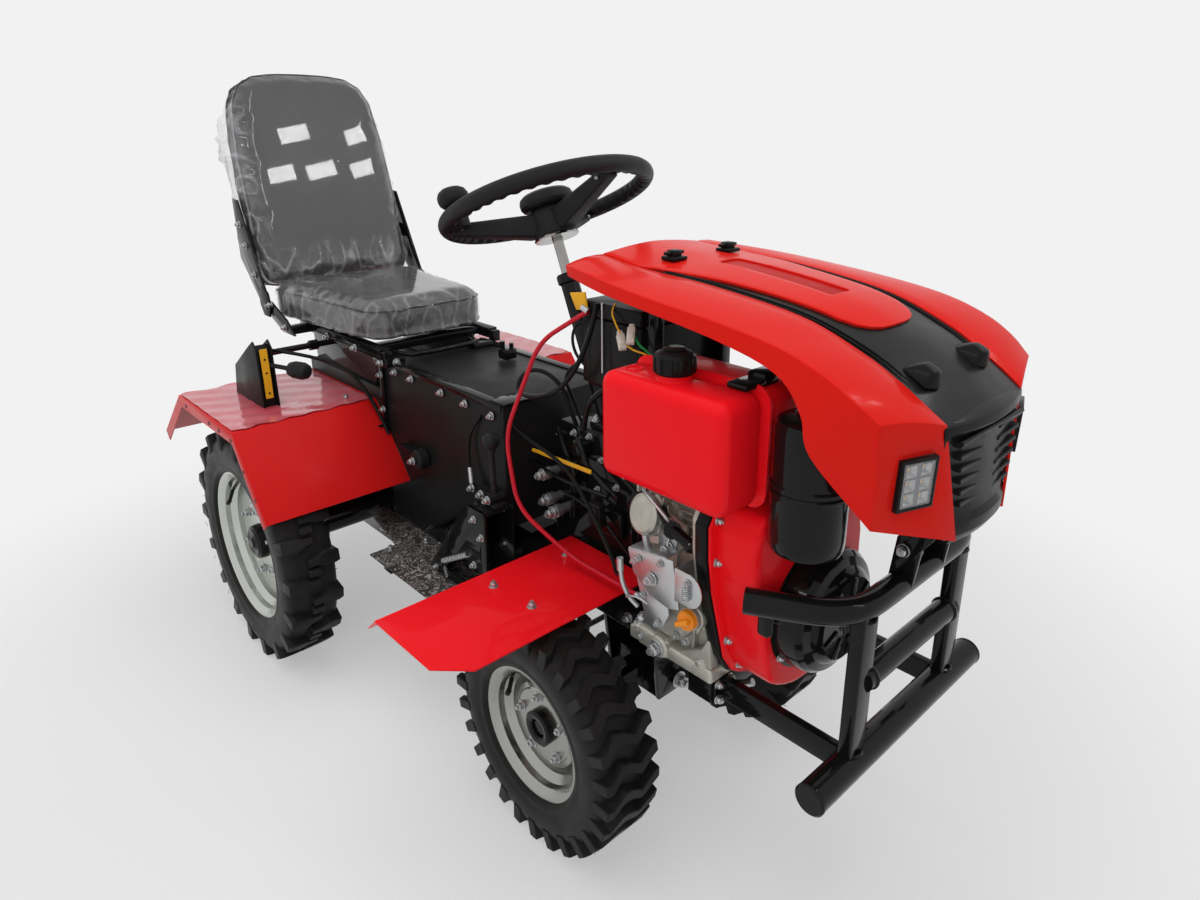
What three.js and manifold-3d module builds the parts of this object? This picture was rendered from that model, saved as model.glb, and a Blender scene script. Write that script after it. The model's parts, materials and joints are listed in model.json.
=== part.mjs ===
// A small four-wheel ride-on garden tractor with a single-cylinder air-cooled diesel engine in front.
// Millimetres, +X forward, +Y left, +Z up. Inside this file x = 0 is the rear axle and z = 0 the ground.
// The finished group is moved along X so that its origin is the bottom centre of its own box.
import * as THREE from "three";
import { mergeVertices } from "three/addons/utils/BufferGeometryUtils.js";
import Module from "manifold-3d";

const wasm = await Module();
wasm.setup();

// ---------------------------------------------------------------- driving dimensions
const GAP = 0.3; // between two pieces that touch
const RUN = 0.5; // radial clearance of a turning pin or shaft
const SIDES = [["right", -1], ["left", 1]];

const WHEELBASE = 853;

const FRONT_TYRE_R = 205;
const FRONT = {
  tyreR: FRONT_TYRE_R, tyreHalf: 56, hubZ: FRONT_TYRE_R, centreY: 238,
  flangeR: 115, seatR: 104, wellR: 90, rimHalf: 45, wall: 4,
  discY: 12, hubR: 34, spindleR: 12.5,
};
const REAR_TYRE_R = 265;
const REAR = {
  tyreR: REAR_TYRE_R, tyreHalf: 57, hubZ: REAR_TYRE_R, centreY: 374,
  flangeR: 168, seatR: 156, wellR: 138, rimHalf: 46, wall: 4,
  discY: 4, hubR: 42, spindleR: 17.5,
};
const WHEEL_FACETS = 24;

const KINGPIN_Y = 145;
const KINGPIN_R = 8;
const BOSS_R = 20;
const BOSS_Z = [FRONT.hubZ - 30, FRONT.hubZ + 30];
const ARM_LENGTH = 110;
const TIE_PIN_R = 6;

const RAIL_Y = [60, 100];
const RAIL_Z = [345, 389.7];
const RAIL_X = [150, WHEELBASE + 267];
const AXLE_LUG_X = [WHEELBASE - 57, WHEELBASE + 57];
const AXLE_PIN_R = 14;

const BODY_HALF = 130;
const BODY_WALL = 3;
const BODY_TOP = 675;
const BODY_FRONT = WHEELBASE - 251;
const BODY_STEP_X = 150;
const BODY_REAR = -230;
const BODY_REAR_TOP = 600;
const BODY_SKIRT_Z = 300;
const BODY_REAR_SKIRT_Z = 372;

const FLOOR_Z = 300;
const FLOOR_PLATE = 4;
const FLOOR_Y = 265;
const FLOOR_X = [286, BODY_FRONT - 2];
const FLOOR_STEP = { x: 100, y: 205 };

const REAR_FENDER = {
  sheet: 3, inY: BODY_HALF + GAP, outY: 448, topZ: 572, lip: 28,
  rearX: -225, frontX: 112, frontFoot: [238, 412], rearFoot: [-392, 440],
};
const FRONT_FENDER = {
  sheet: 3, z: RAIL_Z[1] + 38.3, inY: 57, outY: 459,
  x: [WHEELBASE - 153, WHEELBASE + 55], cut: 46, flap: 34,
};
const FENDER_BAR_X = [FRONT_FENDER.x[0] + 25, FRONT_FENDER.x[0] + 55];

const ENGINE_AXIS = { y: -45, z: 520 };
const ENGINE_BASE_Z = RAIL_Z[1] + GAP;
const ENGINE_Y = [-162, 72];
const CRANKCASE_X = [WHEELBASE + 109, WHEELBASE + 279];
const SHROUD_X = [CRANKCASE_X[1] + 9, CRANKCASE_X[1] + 82];
const SHROUD_R = 130;
const RECOIL_R = 92;
const RECOIL_FRONT = SHROUD_X[1] + 48;

const TANK = { x: [CRANKCASE_X[0] + 28, SHROUD_X[1] - 9], y: [-250, -86], z: [708, 857], seamY: -168 };
const CAP_AT = [TANK.x[0] + 98, -206];
const FILTER = { x: SHROUD_X[1] + 49, y: -152, r: 47, z: [665, 838], band: [744, 758] };
const BARREL_TOP = 655;
const HEAD_Y = 56;
const MUFFLER = { x: CRANKCASE_X[0] + 48, y: 150, z: 700, r: 52, length: 170 };

const GUARD_X = RAIL_X[1] + 218;
const GUARD_TUBE_R = 17;
const GUARD_LOW_R = 21;
const GUARD_LOW_Z = 372;
const GUARD_MID_Z = 497;
const GUARD_BOW_Z = 604;
const GUARD_POST_Y = 126;
const GUARD_LOW_Y = 213;
const POST_HALF = 19;

const HINGE = { x: GUARD_X + 7, z: GUARD_BOW_Z + 56, r: 8 };

const WHEEL_CENTRE = [WHEELBASE - 270, 1029];
const WHEEL_TILT = 23.5;
const WHEEL_R = 183;
const WHEEL_RIM_R = 15.5;
const SHAFT_R = 9.5;

const SEAT_RAIL_Z = [690, 706];
const SEAT_RAIL_Y = [128, 152];
const CUSHION_HALF = 196;
const CUSHION = { x: [-262, 178], rearY: CUSHION_HALF, frontY: 150, z: [SEAT_RAIL_Z[1] + GAP, 797] };
const RECLINE = { x: -250, z: 742, r: 8, y: CUSHION_HALF + 10 };
const BACK = { foot: [-272, 812], top: [-397, 1292], half: 190, thick: 72 };

// ---------------------------------------------------------------- colours
const paint = (color, roughness, metalness) => new THREE.MeshStandardMaterial(
  { color, roughness, metalness });
const RED = paint(0xd8261c, 0.35, 0.1);
const BLACK_STEEL = paint(0x1c1b1d, 0.45, 0.3);
const BLACK_PLASTIC = paint(0x222224, 0.55, 0);
const RUBBER = paint(0x19191a, 0.85, 0);
const ZINC = paint(0xb9bcbb, 0.35, 0.9);
const ALLOY = paint(0xb4b2aa, 0.45, 0.8);
const VINYL = paint(0x3b393a, 0.4, 0);
const LAMP = paint(0xe3e5e8, 0.15, 0.2);
const CABLE_RED = paint(0xc3183a, 0.5, 0);

// ---------------------------------------------------------------- solids
function solidOf(geometry) {
  const bare = geometry.index ? geometry.toNonIndexed() : geometry.clone();
  bare.deleteAttribute("normal");
  bare.deleteAttribute("uv");
  const merged = mergeVertices(bare, 1e-3);
  const at = merged.attributes.position;
  const index = merged.index.array;
  const corner = (i) => new THREE.Vector3().fromBufferAttribute(at, i);
  const kept = [];
  let volume = 0;
  for (let i = 0; i < index.length; i += 3) {
    const [a, b, c] = [index[i], index[i + 1], index[i + 2]];
    if (a === b || b === c || c === a) continue;
    volume += corner(a).dot(corner(b).cross(corner(c)));
    kept.push([a, b, c]);
  }
  const order = kept.map(([a, b, c]) => (volume < 0 ? [a, c, b] : [a, b, c]));
  return new wasm.Manifold(new wasm.Mesh({
    numProp: 3, vertProperties: new Float32Array(at.array), triVerts: new Uint32Array(order.flat()),
  }));
}

const join = (...solids) => solids.reduce((all, next) => all.add(next));
const cut = (body, ...tools) => tools.reduce((left, tool) => left.subtract(tool), body);

const group = new THREE.Group();
group.name = "tractor";

function part(name, solid, material) {
  const mesh = solid.getMesh();
  const geometry = new THREE.BufferGeometry();
  geometry.setAttribute("position", new THREE.BufferAttribute(new Float32Array(mesh.vertProperties), 3));
  geometry.setIndex(new THREE.BufferAttribute(new Uint32Array(mesh.triVerts), 1));
  geometry.computeVertexNormals();
  const node = new THREE.Mesh(geometry, material);
  node.name = name;
  group.add(node);
}

function block(x, y, z) {
  const geometry = new THREE.BoxGeometry(1, 1, 1);
  const at = geometry.attributes.position;
  const pick = (pair, value) => (value < 0 ? pair[0] : pair[1]);
  for (let i = 0; i < at.count; i += 1) {
    at.setXYZ(i, pick(x, at.getX(i)), pick(y, at.getY(i)), pick(z, at.getZ(i)));
  }
  return solidOf(geometry);
}

function outlineOf(points) {
  return new THREE.Shape(points.map(([a, b]) => new THREE.Vector2(a, b)));
}

const extruded = (shape, depth) => new THREE.ExtrudeGeometry(shape,
  { depth, bevelEnabled: false, curveSegments: 4 });

// an outline of (x, z) points, thick along Y
function sideways(points, y) {
  const shape = points instanceof THREE.Shape ? points : outlineOf(points);
  return solidOf(extruded(shape, y[1] - y[0]).rotateX(Math.PI / 2).translate(0, y[1], 0));
}

// an outline of (x, y) points, thick along Z
function upright(points, z) {
  const shape = points instanceof THREE.Shape ? points : outlineOf(points);
  return solidOf(extruded(shape, z[1] - z[0]).translate(0, 0, z[0]));
}

// an outline of (y, z) points, thick along X
function lengthways(points, x) {
  const shape = points instanceof THREE.Shape ? points : outlineOf(points);
  const turn = new THREE.Matrix4().makeBasis(
    new THREE.Vector3(0, 1, 0), new THREE.Vector3(0, 0, 1), new THREE.Vector3(1, 0, 0));
  return solidOf(extruded(shape, x[1] - x[0]).applyMatrix4(turn).translate(x[0], 0, 0));
}

function rod(from, to, radius, facets = 20) {
  const start = new THREE.Vector3(...from);
  const run = new THREE.Vector3(...to).sub(start);
  const geometry = new THREE.CylinderGeometry(radius, radius, run.length(), facets);
  const turn = new THREE.Quaternion().setFromUnitVectors(new THREE.Vector3(0, 1, 0), run.clone().normalize());
  return solidOf(geometry.applyQuaternion(turn).translate(...start.addScaledVector(run, 0.5).toArray()));
}

// a closed profile of (radius, y) points turned about the Y axis, with a flat facet at the bottom
function turned(profile, facets) {
  const swell = 1 / Math.cos(Math.PI / facets);
  const points = [...profile, profile[0]].map(([r, y]) => new THREE.Vector2(r * swell, y));
  return new THREE.LatheGeometry(points, facets).rotateY(Math.PI / facets);
}

// a bent tube: straight runs between the points, with an elbow at each
function bentTube(points, radius, bend, facets = 12) {
  const corners = points.map((p) => new THREE.Vector3(...p));
  const route = [corners[0]];
  for (let i = 1; i < corners.length - 1; i += 1) {
    const back = corners[i - 1].clone().sub(corners[i]).normalize();
    const ahead = corners[i + 1].clone().sub(corners[i]).normalize();
    const start = corners[i].clone().addScaledVector(back, bend);
    const end = corners[i].clone().addScaledVector(ahead, bend);
    route.push(...new THREE.QuadraticBezierCurve3(start, corners[i], end).getPoints(4));
  }
  route.push(corners[corners.length - 1]);
  const path = new THREE.CatmullRomCurve3(route, false, "centripetal");
  const ring = new THREE.Shape().absarc(0, 0, radius, 0, 2 * Math.PI);
  const steps = Math.max(6, Math.round(path.getLength() / (radius * 5)));
  return solidOf(new THREE.ExtrudeGeometry(ring, { steps, extrudePath: path, curveSegments: facets / 2 }));
}

// a sheet of even thickness on a mesh of outer points; faces are triangles or quads seen from outside
function sheet(points, faces, thickness) {
  const at = points.map((p) => new THREE.Vector3(...p));
  const triangles = faces.flatMap((f) => (f.length === 4 ? [[f[0], f[1], f[2]], [f[0], f[2], f[3]]] : [f]));
  const normals = at.map(() => new THREE.Vector3());
  for (const [a, b, c] of triangles) {
    const across = at[b].clone().sub(at[a]).cross(at[c].clone().sub(at[a])).normalize();
    [a, b, c].forEach((i) => normals[i].add(across));
  }
  const inner = at.map((p, i) => p.clone().addScaledVector(normals[i].normalize(), -thickness));
  const all = [...at, ...inner];
  const count = at.length;
  const skin = [];
  const edges = new Map();
  for (const [a, b, c] of triangles) {
    skin.push([a, b, c], [a + count, c + count, b + count]);
    [[a, b], [b, c], [c, a]].forEach(([p, q]) => edges.set(`${p}_${q}`, [p, q]));
  }
  for (const [p, q] of edges.values()) {
    if (!edges.has(`${q}_${p}`)) skin.push([p, p + count, q + count], [p, q + count, q]);
  }
  const geometry = new THREE.BufferGeometry();
  geometry.setAttribute("position", new THREE.Float32BufferAttribute(all.flatMap((p) => p.toArray()), 3));
  geometry.setIndex(skin.flat());
  return solidOf(geometry);
}

const mirrored = (pair, side) => (side > 0 ? pair : [-pair[1], -pair[0]]);
const flipped = (points, side) => points.map(([x, y, z]) => [x, y * side, z]);

// ---------------------------------------------------------------- wheels
// profiles are (radius, distance outwards from the wheel's centre plane)
function tyreProfile(w) {
  const bead = w.rimHalf - w.wall - GAP;
  const seat = w.seatR + GAP;
  const lip = w.flangeR + GAP;
  const shoulder = w.tyreR - 22;
  const half = [[w.tyreR, w.tyreHalf - 10], [shoulder, w.tyreHalf], [lip + 24, w.tyreHalf],
    [lip, w.rimHalf + 4]];
  const outer = [...half, [lip, bead], [seat, bead]];
  const inner = outer.map(([r, y]) => [r, -y]).reverse();
  return [...outer, ...inner];
}

function barrelProfile(w) {
  const { seatR, wellR, flangeR, rimHalf, wall } = w;
  const edge = rimHalf - wall;
  return [
    [flangeR, rimHalf], [flangeR, edge], [seatR, edge], [wellR, 6], [wellR, -20], [seatR, -edge],
    [flangeR, -edge], [flangeR, -rimHalf], [seatR - wall, -rimHalf], [wellR - wall, -22], [wellR - wall, 8],
    [seatR - wall, rimHalf],
  ];
}

function discProfile(w) {
  const { discY, hubR, wellR, wall } = w;
  const far = wellR - 1;
  return [[far, discY - 8], [hubR + 22, discY + 4], [hubR - 6, discY + 4], [hubR - 6, discY + 4 - wall],
    [hubR + 22, discY + 4 - wall], [far, discY - 8 - wall]];
}

function hubSolid(w) {
  const bore = w.spindleR + RUN;
  const face = w.discY + 26;
  const profile = [[0, face], [w.hubR - 12, face], [w.hubR, face - 8], [w.hubR, -40], [bore, -40],
    [bore, face - 12], [0, face - 12]];
  return new THREE.LatheGeometry(profile.map(([r, y]) => new THREE.Vector2(r, y)), 16);
}

function wheel(name, w, side, x) {
  const placed = (geometry) => {
    if (side < 0) geometry.rotateZ(Math.PI);
    return solidOf(geometry.translate(x, side * w.centreY, w.hubZ));
  };
  part(`${name}_tyre`, placed(turned(tyreProfile(w), WHEEL_FACETS)), RUBBER);
  const barrel = placed(turned(barrelProfile(w), WHEEL_FACETS));
  const disc = placed(turned(discProfile(w), WHEEL_FACETS));
  part(`${name}_rim`, join(barrel, disc, placed(hubSolid(w))), ZINC);
}

// ---------------------------------------------------------------- front axle
const ARM_X = WHEELBASE - ARM_LENGTH;
const ARM_Z = [BOSS_Z[1] + GAP, BOSS_Z[1] + 11];

function frontAxleBeam() {
  const bar = block([WHEELBASE - 20, WHEELBASE + 20], [-KINGPIN_Y, KINGPIN_Y],
    [BOSS_Z[0] + 10, BOSS_Z[1] - 10]);
  const centre = block([AXLE_LUG_X[0] + GAP, AXLE_LUG_X[1] - GAP], [-34, 34], [BOSS_Z[0] - 4, BOSS_Z[1] + 4]);
  const bosses = SIDES.map(([, s]) => rod([WHEELBASE, s * KINGPIN_Y, BOSS_Z[0]],
    [WHEELBASE, s * KINGPIN_Y, BOSS_Z[1]], BOSS_R));
  const bores = SIDES.map(([, s]) => rod([WHEELBASE, s * KINGPIN_Y, BOSS_Z[0] - 5],
    [WHEELBASE, s * KINGPIN_Y, BOSS_Z[1] + 5], KINGPIN_R + RUN));
  const pivot = rod([AXLE_LUG_X[0] - 5, 0, FRONT.hubZ], [AXLE_LUG_X[1] + 5, 0, FRONT.hubZ], AXLE_PIN_R + RUN);
  part("front_axle_beam", cut(join(bar, centre, ...bosses), ...bores, pivot), BLACK_STEEL);
}

function knuckle(word, side) {
  const y = side * KINGPIN_Y;
  const outward = (near, far) => mirrored([KINGPIN_Y + near, KINGPIN_Y + far], side);
  const web = block([WHEELBASE - 22, WHEELBASE + 22], outward(26, 38), [BOSS_Z[0] - 12, BOSS_Z[1] + 11]);
  const plate = (z) => join(rod([WHEELBASE, y, z[0]], [WHEELBASE, y, z[1]], 22),
    block([WHEELBASE - 22, WHEELBASE + 22], outward(0, 30), z));
  const top = plate(ARM_Z);
  const bottom = plate([BOSS_Z[0] - 12, BOSS_Z[0] - GAP]);
  const kingpin = rod([WHEELBASE, y, BOSS_Z[0] - 6], [WHEELBASE, y, BOSS_Z[1] + 6], KINGPIN_R);
  const spindleEnd = FRONT.centreY + FRONT.discY + 13;
  const spindle = rod([WHEELBASE, side * (KINGPIN_Y + 32), FRONT.hubZ],
    [WHEELBASE, side * spindleEnd, FRONT.hubZ], FRONT.spindleR);
  const arm = join(block([ARM_X, WHEELBASE - 15], [y - 11, y + 11], ARM_Z),
    rod([ARM_X, y, ARM_Z[0]], [ARM_X, y, ARM_Z[1]], 13));
  const ballPin = rod([ARM_X, y, ARM_Z[0] + 2], [ARM_X, y, ARM_Z[1] + 16], TIE_PIN_R);
  part(`${word}_knuckle`, join(web, top, bottom, kingpin, spindle, arm, ballPin), BLACK_STEEL);
}

function tieRod() {
  const z = [ARM_Z[1] + GAP, ARM_Z[1] + 12];
  const middle = (z[0] + z[1]) / 2;
  const bar = rod([ARM_X, -KINGPIN_Y, middle], [ARM_X, KINGPIN_Y, middle], 5.5, 12);
  const eyes = SIDES.map(([, s]) => rod([ARM_X, s * KINGPIN_Y, z[0]], [ARM_X, s * KINGPIN_Y, z[1]], 13));
  const bores = SIDES.map(([, s]) => rod([ARM_X, s * KINGPIN_Y, z[0] - 5],
    [ARM_X, s * KINGPIN_Y, z[1] + 5], TIE_PIN_R + RUN));
  part("tie_rod", cut(join(bar, ...eyes), ...bores), ZINC);
}

// ---------------------------------------------------------------- chassis
const CASE_FRONT = RAIL_X[0] - 8 - GAP;

function chassisFrame() {
  const inner = BODY_HALF - BODY_WALL - GAP;
  const rails = SIDES.map(([, s]) => block(RAIL_X, mirrored(RAIL_Y, s), RAIL_Z));
  const rearPlate = block([RAIL_X[0] - 8, RAIL_X[0]], [-inner, inner], [RAIL_Z[0] - 40, 520]);
  const ties = [360, 575].map((x) => block([x, x + 30], [-inner, inner], [RAIL_Z[0], RAIL_Z[1] - 5]));
  const noseHalf = GUARD_POST_Y + POST_HALF;
  const nose = block([RAIL_X[1] - 45, RAIL_X[1]], [-noseHalf, noseHalf], RAIL_Z);
  const lugs = [[AXLE_LUG_X[0] - 8, AXLE_LUG_X[0]], [AXLE_LUG_X[1], AXLE_LUG_X[1] + 8]].map((x) => lengthways(
    [[-62, RAIL_Z[0] + 5], [-40, FRONT.hubZ - 30], [40, FRONT.hubZ - 30], [62, RAIL_Z[0] + 5]], x));
  const pin = rod([AXLE_LUG_X[0] - 18, 0, FRONT.hubZ], [AXLE_LUG_X[1] + 18, 0, FRONT.hubZ], AXLE_PIN_R);
  const under = FLOOR_Z - FLOOR_PLATE - GAP;
  const outriggers = [320, 560].map((x) => join(
    block([x, x + 30], [-FLOOR_Y + 12, FLOOR_Y - 12], [under - 22, under]),
    ...SIDES.map(([, s]) => block([x, x + 30], mirrored(RAIL_Y, s), [under - 10, RAIL_Z[0] + 5]))));
  const fenderTop = FRONT_FENDER.z - FRONT_FENDER.sheet - GAP;
  const fenderBar = SIDES.map(([, s]) => join(
    block(FENDER_BAR_X, mirrored([RAIL_Y[0], 330], s), [fenderTop - 8, fenderTop]),
    block(FENDER_BAR_X, mirrored(RAIL_Y, s), [RAIL_Z[1] - 5, fenderTop])));
  part("chassis_frame", join(...rails, rearPlate, ...ties, nose, ...lugs, pin, ...outriggers, ...fenderBar),
    BLACK_STEEL);
}

function frontGuard() {
  const low = rod([GUARD_X, -GUARD_LOW_Y, GUARD_LOW_Z], [GUARD_X, GUARD_LOW_Y, GUARD_LOW_Z], GUARD_LOW_R, 16);
  const mid = rod([GUARD_X, -GUARD_POST_Y, GUARD_MID_Z], [GUARD_X, GUARD_POST_Y, GUARD_MID_Z],
    GUARD_TUBE_R, 12);
  const half = [[GUARD_X - 112, 220], [GUARD_X - 26, 172], [GUARD_X, 112]];
  const bow = bentTube([...half.map(([x, y]) => [x, -y, GUARD_BOW_Z]),
    ...half.reverse().map(([x, y]) => [x, y, GUARD_BOW_Z])], GUARD_TUBE_R, 26);
  const posts = SIDES.map(([, s]) => block([GUARD_X - 10, GUARD_X + 10],
    mirrored([GUARD_POST_Y - POST_HALF, GUARD_POST_Y + POST_HALF], s), [GUARD_LOW_Z, GUARD_BOW_Z]));
  const arms = SIDES.map(([, s]) => block([RAIL_X[1] + GAP, GUARD_X],
    mirrored([GUARD_POST_Y - 6, GUARD_POST_Y + 6], s), [GUARD_LOW_Z - 18, GUARD_LOW_Z + 18]));
  const feet = SIDES.map(([, s]) => block([RAIL_X[1] + GAP, RAIL_X[1] + 7],
    mirrored([GUARD_POST_Y - POST_HALF, GUARD_POST_Y + POST_HALF], s), [GUARD_LOW_Z - 25, GUARD_LOW_Z + 17]));
  const ears = SIDES.map(([, s]) => sideways([[GUARD_X - 16, GUARD_BOW_Z], [GUARD_X + 16, GUARD_BOW_Z],
    [HINGE.x + 16, HINGE.z + 14], [HINGE.x - 16, HINGE.z + 14]], mirrored([40, 46], s)));
  const bores = SIDES.map(([, s]) => rod([HINGE.x, s * 30, HINGE.z], [HINGE.x, s * 56, HINGE.z],
    HINGE.r + RUN));
  part("front_guard", cut(join(low, mid, bow, ...posts, ...arms, ...feet, ...ears), ...bores), BLACK_STEEL);
}

function rearAxleCase() {
  const gearbox = block([-115, CASE_FRONT], [-95, 95], [170, 515]);
  const trumpet = rod([0, -290, REAR.hubZ], [0, 290, REAR.hubZ], 34, 16);
  const shaft = rod([0, -REAR.centreY - 16, REAR.hubZ], [0, REAR.centreY + 16, REAR.hubZ], REAR.spindleR);
  const hitch = block([-175, -110], [-35, 35], [285, 345]);
  part("rear_axle_case", join(gearbox, trumpet, shaft, hitch), BLACK_STEEL);
}

function tunnelBody() {
  const outline = (inset, drop) => [
    [BODY_REAR + inset, BODY_REAR_SKIRT_Z - drop], [BODY_STEP_X, BODY_REAR_SKIRT_Z - drop],
    [BODY_STEP_X, BODY_SKIRT_Z - drop], [BODY_FRONT - inset, BODY_SKIRT_Z - drop],
    [BODY_FRONT - inset, BODY_TOP - inset], [BODY_STEP_X + inset, BODY_TOP - inset],
    [BODY_STEP_X + inset, BODY_REAR_TOP - inset], [BODY_REAR + inset, BODY_REAR_TOP - inset]];
  const inside = BODY_HALF - BODY_WALL;
  const hollow = sideways(outline(BODY_WALL, 20), [-inside, inside]);
  const railSlot = block([BODY_FRONT - 20, BODY_FRONT + 20], [-inside, inside],
    [RAIL_Z[0] - 80, RAIL_Z[1] + 40]);
  part("tunnel_body", cut(sideways(outline(0, 0), [-BODY_HALF, BODY_HALF]), hollow, railSlot), BLACK_STEEL);
}

function floorPlate(word, side) {
  const inY = BODY_HALF + GAP;
  const outline = [[FLOOR_STEP.x, inY], [FLOOR_X[1], inY], [FLOOR_X[1], FLOOR_Y], [FLOOR_X[0], FLOOR_Y],
    [FLOOR_X[0], FLOOR_STEP.y], [FLOOR_STEP.x, FLOOR_STEP.y - 35]].map(([x, y]) => [x, y * side]);
  part(`${word}_floor_plate`, upright(outline, [FLOOR_Z - FLOOR_PLATE, FLOOR_Z]), RUBBER);
}

// ---------------------------------------------------------------- mudguards
function rearFender(word, side) {
  const f = REAR_FENDER;
  const ridge = [f.rearFoot, [f.rearX, f.topZ], [f.frontX, f.topZ], f.frontFoot];
  const faces = [[0, 1], [1, 2], [2, 3]];
  const below = ridge.map(([x, z], i) => {
    const [a, b] = [ridge[Math.max(0, i - 1)], ridge[Math.min(3, i + 1)]];
    const run = Math.hypot(b[0] - a[0], b[1] - a[1]);
    return [x + ((b[1] - a[1]) / run) * f.sheet, z - ((b[0] - a[0]) / run) * f.sheet];
  });
  const deep = ridge.map(([x, z], i) => [x + (below[i][0] - x) * (f.lip / f.sheet),
    z + (below[i][1] - z) * (f.lip / f.sheet)]);
  const strip = (low, y) => join(...faces.map(([a, b]) => sideways([ridge[a], ridge[b], low[b], low[a]], y)));
  const top = strip(below, mirrored([f.inY, f.outY], side));
  const lip = strip(deep, mirrored([f.outY - f.sheet, f.outY], side));
  part(`rear_${word}_fender`, join(top, lip), RED);
}

function frontFender(word, side) {
  const f = FRONT_FENDER;
  const plan = [[f.x[0], f.inY], [f.x[1], f.inY], [f.x[1], f.outY - f.cut], [f.x[1] - f.cut, f.outY],
    [f.x[0], f.outY]].map(([x, y]) => [x, y * side]);
  const plate = upright(plan, [f.z - f.sheet, f.z]);
  const drop = f.flap * Math.SQRT1_2;
  const flap = sideways([[f.x[0] + 2, f.z], [f.x[0] - drop, f.z - drop],
    [f.x[0] - drop, f.z - drop - f.sheet], [f.x[0] + 2, f.z - f.sheet]],
  mirrored([BODY_HALF + 20, f.outY], side));
  part(`front_${word}_fender`, join(plate, flap), RED);
}

// ---------------------------------------------------------------- engine and what it carries
function engine() {
  const [y0, y1] = ENGINE_Y;
  const sump = block(CRANKCASE_X, [y0, y1], [ENGINE_BASE_Z, ENGINE_BASE_Z + 26]);
  const crankcase = block([CRANKCASE_X[0] + 8, CRANKCASE_X[1]], [y0 + 22, y1 - 12],
    [ENGINE_BASE_Z + 20, 590]);
  const barrel = block([CRANKCASE_X[0] + 20, CRANKCASE_X[1] - 10], [-125, 40], [585, BARREL_TOP]);
  const head = block([CRANKCASE_X[0] + 30, CRANKCASE_X[1] - 18], [-80, HEAD_Y], [BARREL_TOP - 5, 760]);
  const { y, z } = ENGINE_AXIS;
  const shaft = rod([CRANKCASE_X[0] - 72, y, z], [CRANKCASE_X[0] + 20, y, z], 14);
  part("engine_block", join(sump, crankcase, barrel, head, shaft), ALLOY);
}

function fanShroud() {
  const { y, z } = ENGINE_AXIS;
  const volute = rod([SHROUD_X[0], y, z], [SHROUD_X[1], y, z], SHROUD_R, 32);
  const duct = block([SHROUD_X[0], SHROUD_X[1] - 22], [-170, 55], [z + 20, 700]);
  const seat = rod([SHROUD_X[0] - 1, y, z], [SHROUD_X[1] + 1, y, z], RECOIL_R - 20, 24);
  const plate = block([CRANKCASE_X[1] + GAP, SHROUD_X[0]], [y - SHROUD_R, y + SHROUD_R - 12],
    [z - SHROUD_R + 10, 690]);
  part("fan_shroud", join(cut(join(volute, duct), seat), plate), RED);
}

function recoilStarter() {
  const { y, z } = ENGINE_AXIS;
  const cup = rod([SHROUD_X[1] + GAP, y, z], [RECOIL_FRONT, y, z], RECOIL_R, 28);
  const boss = rod([SHROUD_X[0] + 20, y, z], [SHROUD_X[1] + 5, y, z], RECOIL_R - 20 - GAP, 24);
  const dome = rod([RECOIL_FRONT - 5, y, z], [RECOIL_FRONT + 12, y, z], RECOIL_R - 26, 24);
  part("recoil_starter", join(cup, boss, dome), BLACK_PLASTIC);
}

function fuelTank() {
  const { x, y, z, seamY } = TANK;
  const round = 16;
  const outline = (grow, r) => {
    const [x0, x1, z0, z1] = [x[0] - grow, x[1] + grow, z[0] - grow, z[1] + grow];
    const shape = new THREE.Shape();
    shape.moveTo(x0 + r, z0);
    shape.lineTo(x1 - r, z0);
    shape.absarc(x1 - r, z0 + r, r, -Math.PI / 2, 0);
    shape.absarc(x1 - r, z1 - r, r, 0, Math.PI / 2);
    shape.absarc(x0 + r, z1 - r, r, Math.PI / 2, Math.PI);
    shape.absarc(x0 + r, z0 + r, r, Math.PI, 1.5 * Math.PI);
    return shape;
  };
  const shells = sideways(outline(0, round), y);
  const seam = sideways(outline(7, round + 7), [seamY - 2, seamY + 2]);
  const neck = rod([...CAP_AT, z[1] - 5], [...CAP_AT, z[1] + 8], 21);
  const feet = [x[0] + 45, x[1] - 112].map((at) => block([at, at + 28], [y[1] - 36, y[1] + 4],
    [BARREL_TOP + GAP, z[0] + 20]));
  part("fuel_tank", join(shells, seam, neck, ...feet), RED);
}

function fuelCap() {
  const z = TANK.z[1] + 8 + GAP;
  const skirt = rod([...CAP_AT, z], [...CAP_AT, z + 24], 27, 24);
  const crown = rod([...CAP_AT, z + 20], [...CAP_AT, z + 30], 20, 20);
  part("fuel_cap", join(skirt, crown), BLACK_PLASTIC);
}

function airFilter() {
  const { x, y, r, z, band } = FILTER;
  const can = rod([x, y, z[0]], [x, y, z[1]], r, 28);
  const ring = rod([x, y, band[0]], [x, y, band[1]], r + 2.5, 28);
  const elbow = block([SHROUD_X[1] - 22 + GAP, x - 20], [y - 2, y + 60], [z[0] + 4, z[0] + 26]);
  part("air_filter", join(can, ring, elbow), BLACK_PLASTIC);
}

function muffler() {
  const { x, y, z, r, length } = MUFFLER;
  const can = rod([x, y, z], [x + length, y, z], r, 24);
  const neck = block([x + 50, x + 100], [HEAD_Y + GAP, y - 30], [z - 20, z + 15]);
  const outlet = rod([x + length - 10, y, z + 15], [x + length + 42, y, z + 15], 13, 12);
  part("muffler", join(can, neck, outlet), BLACK_STEEL);
}

// ---------------------------------------------------------------- dash and steering
const POST_X = [WHEELBASE + 69, WHEELBASE + 89];
const POST_TOP = 950;
const SHELF_TOP = 762;
const BATTERY_HALF = 98;
const HOUSING_X = [WHEELBASE - 213, WHEELBASE + 27];
const HOUSING_TOP = 648;

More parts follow.
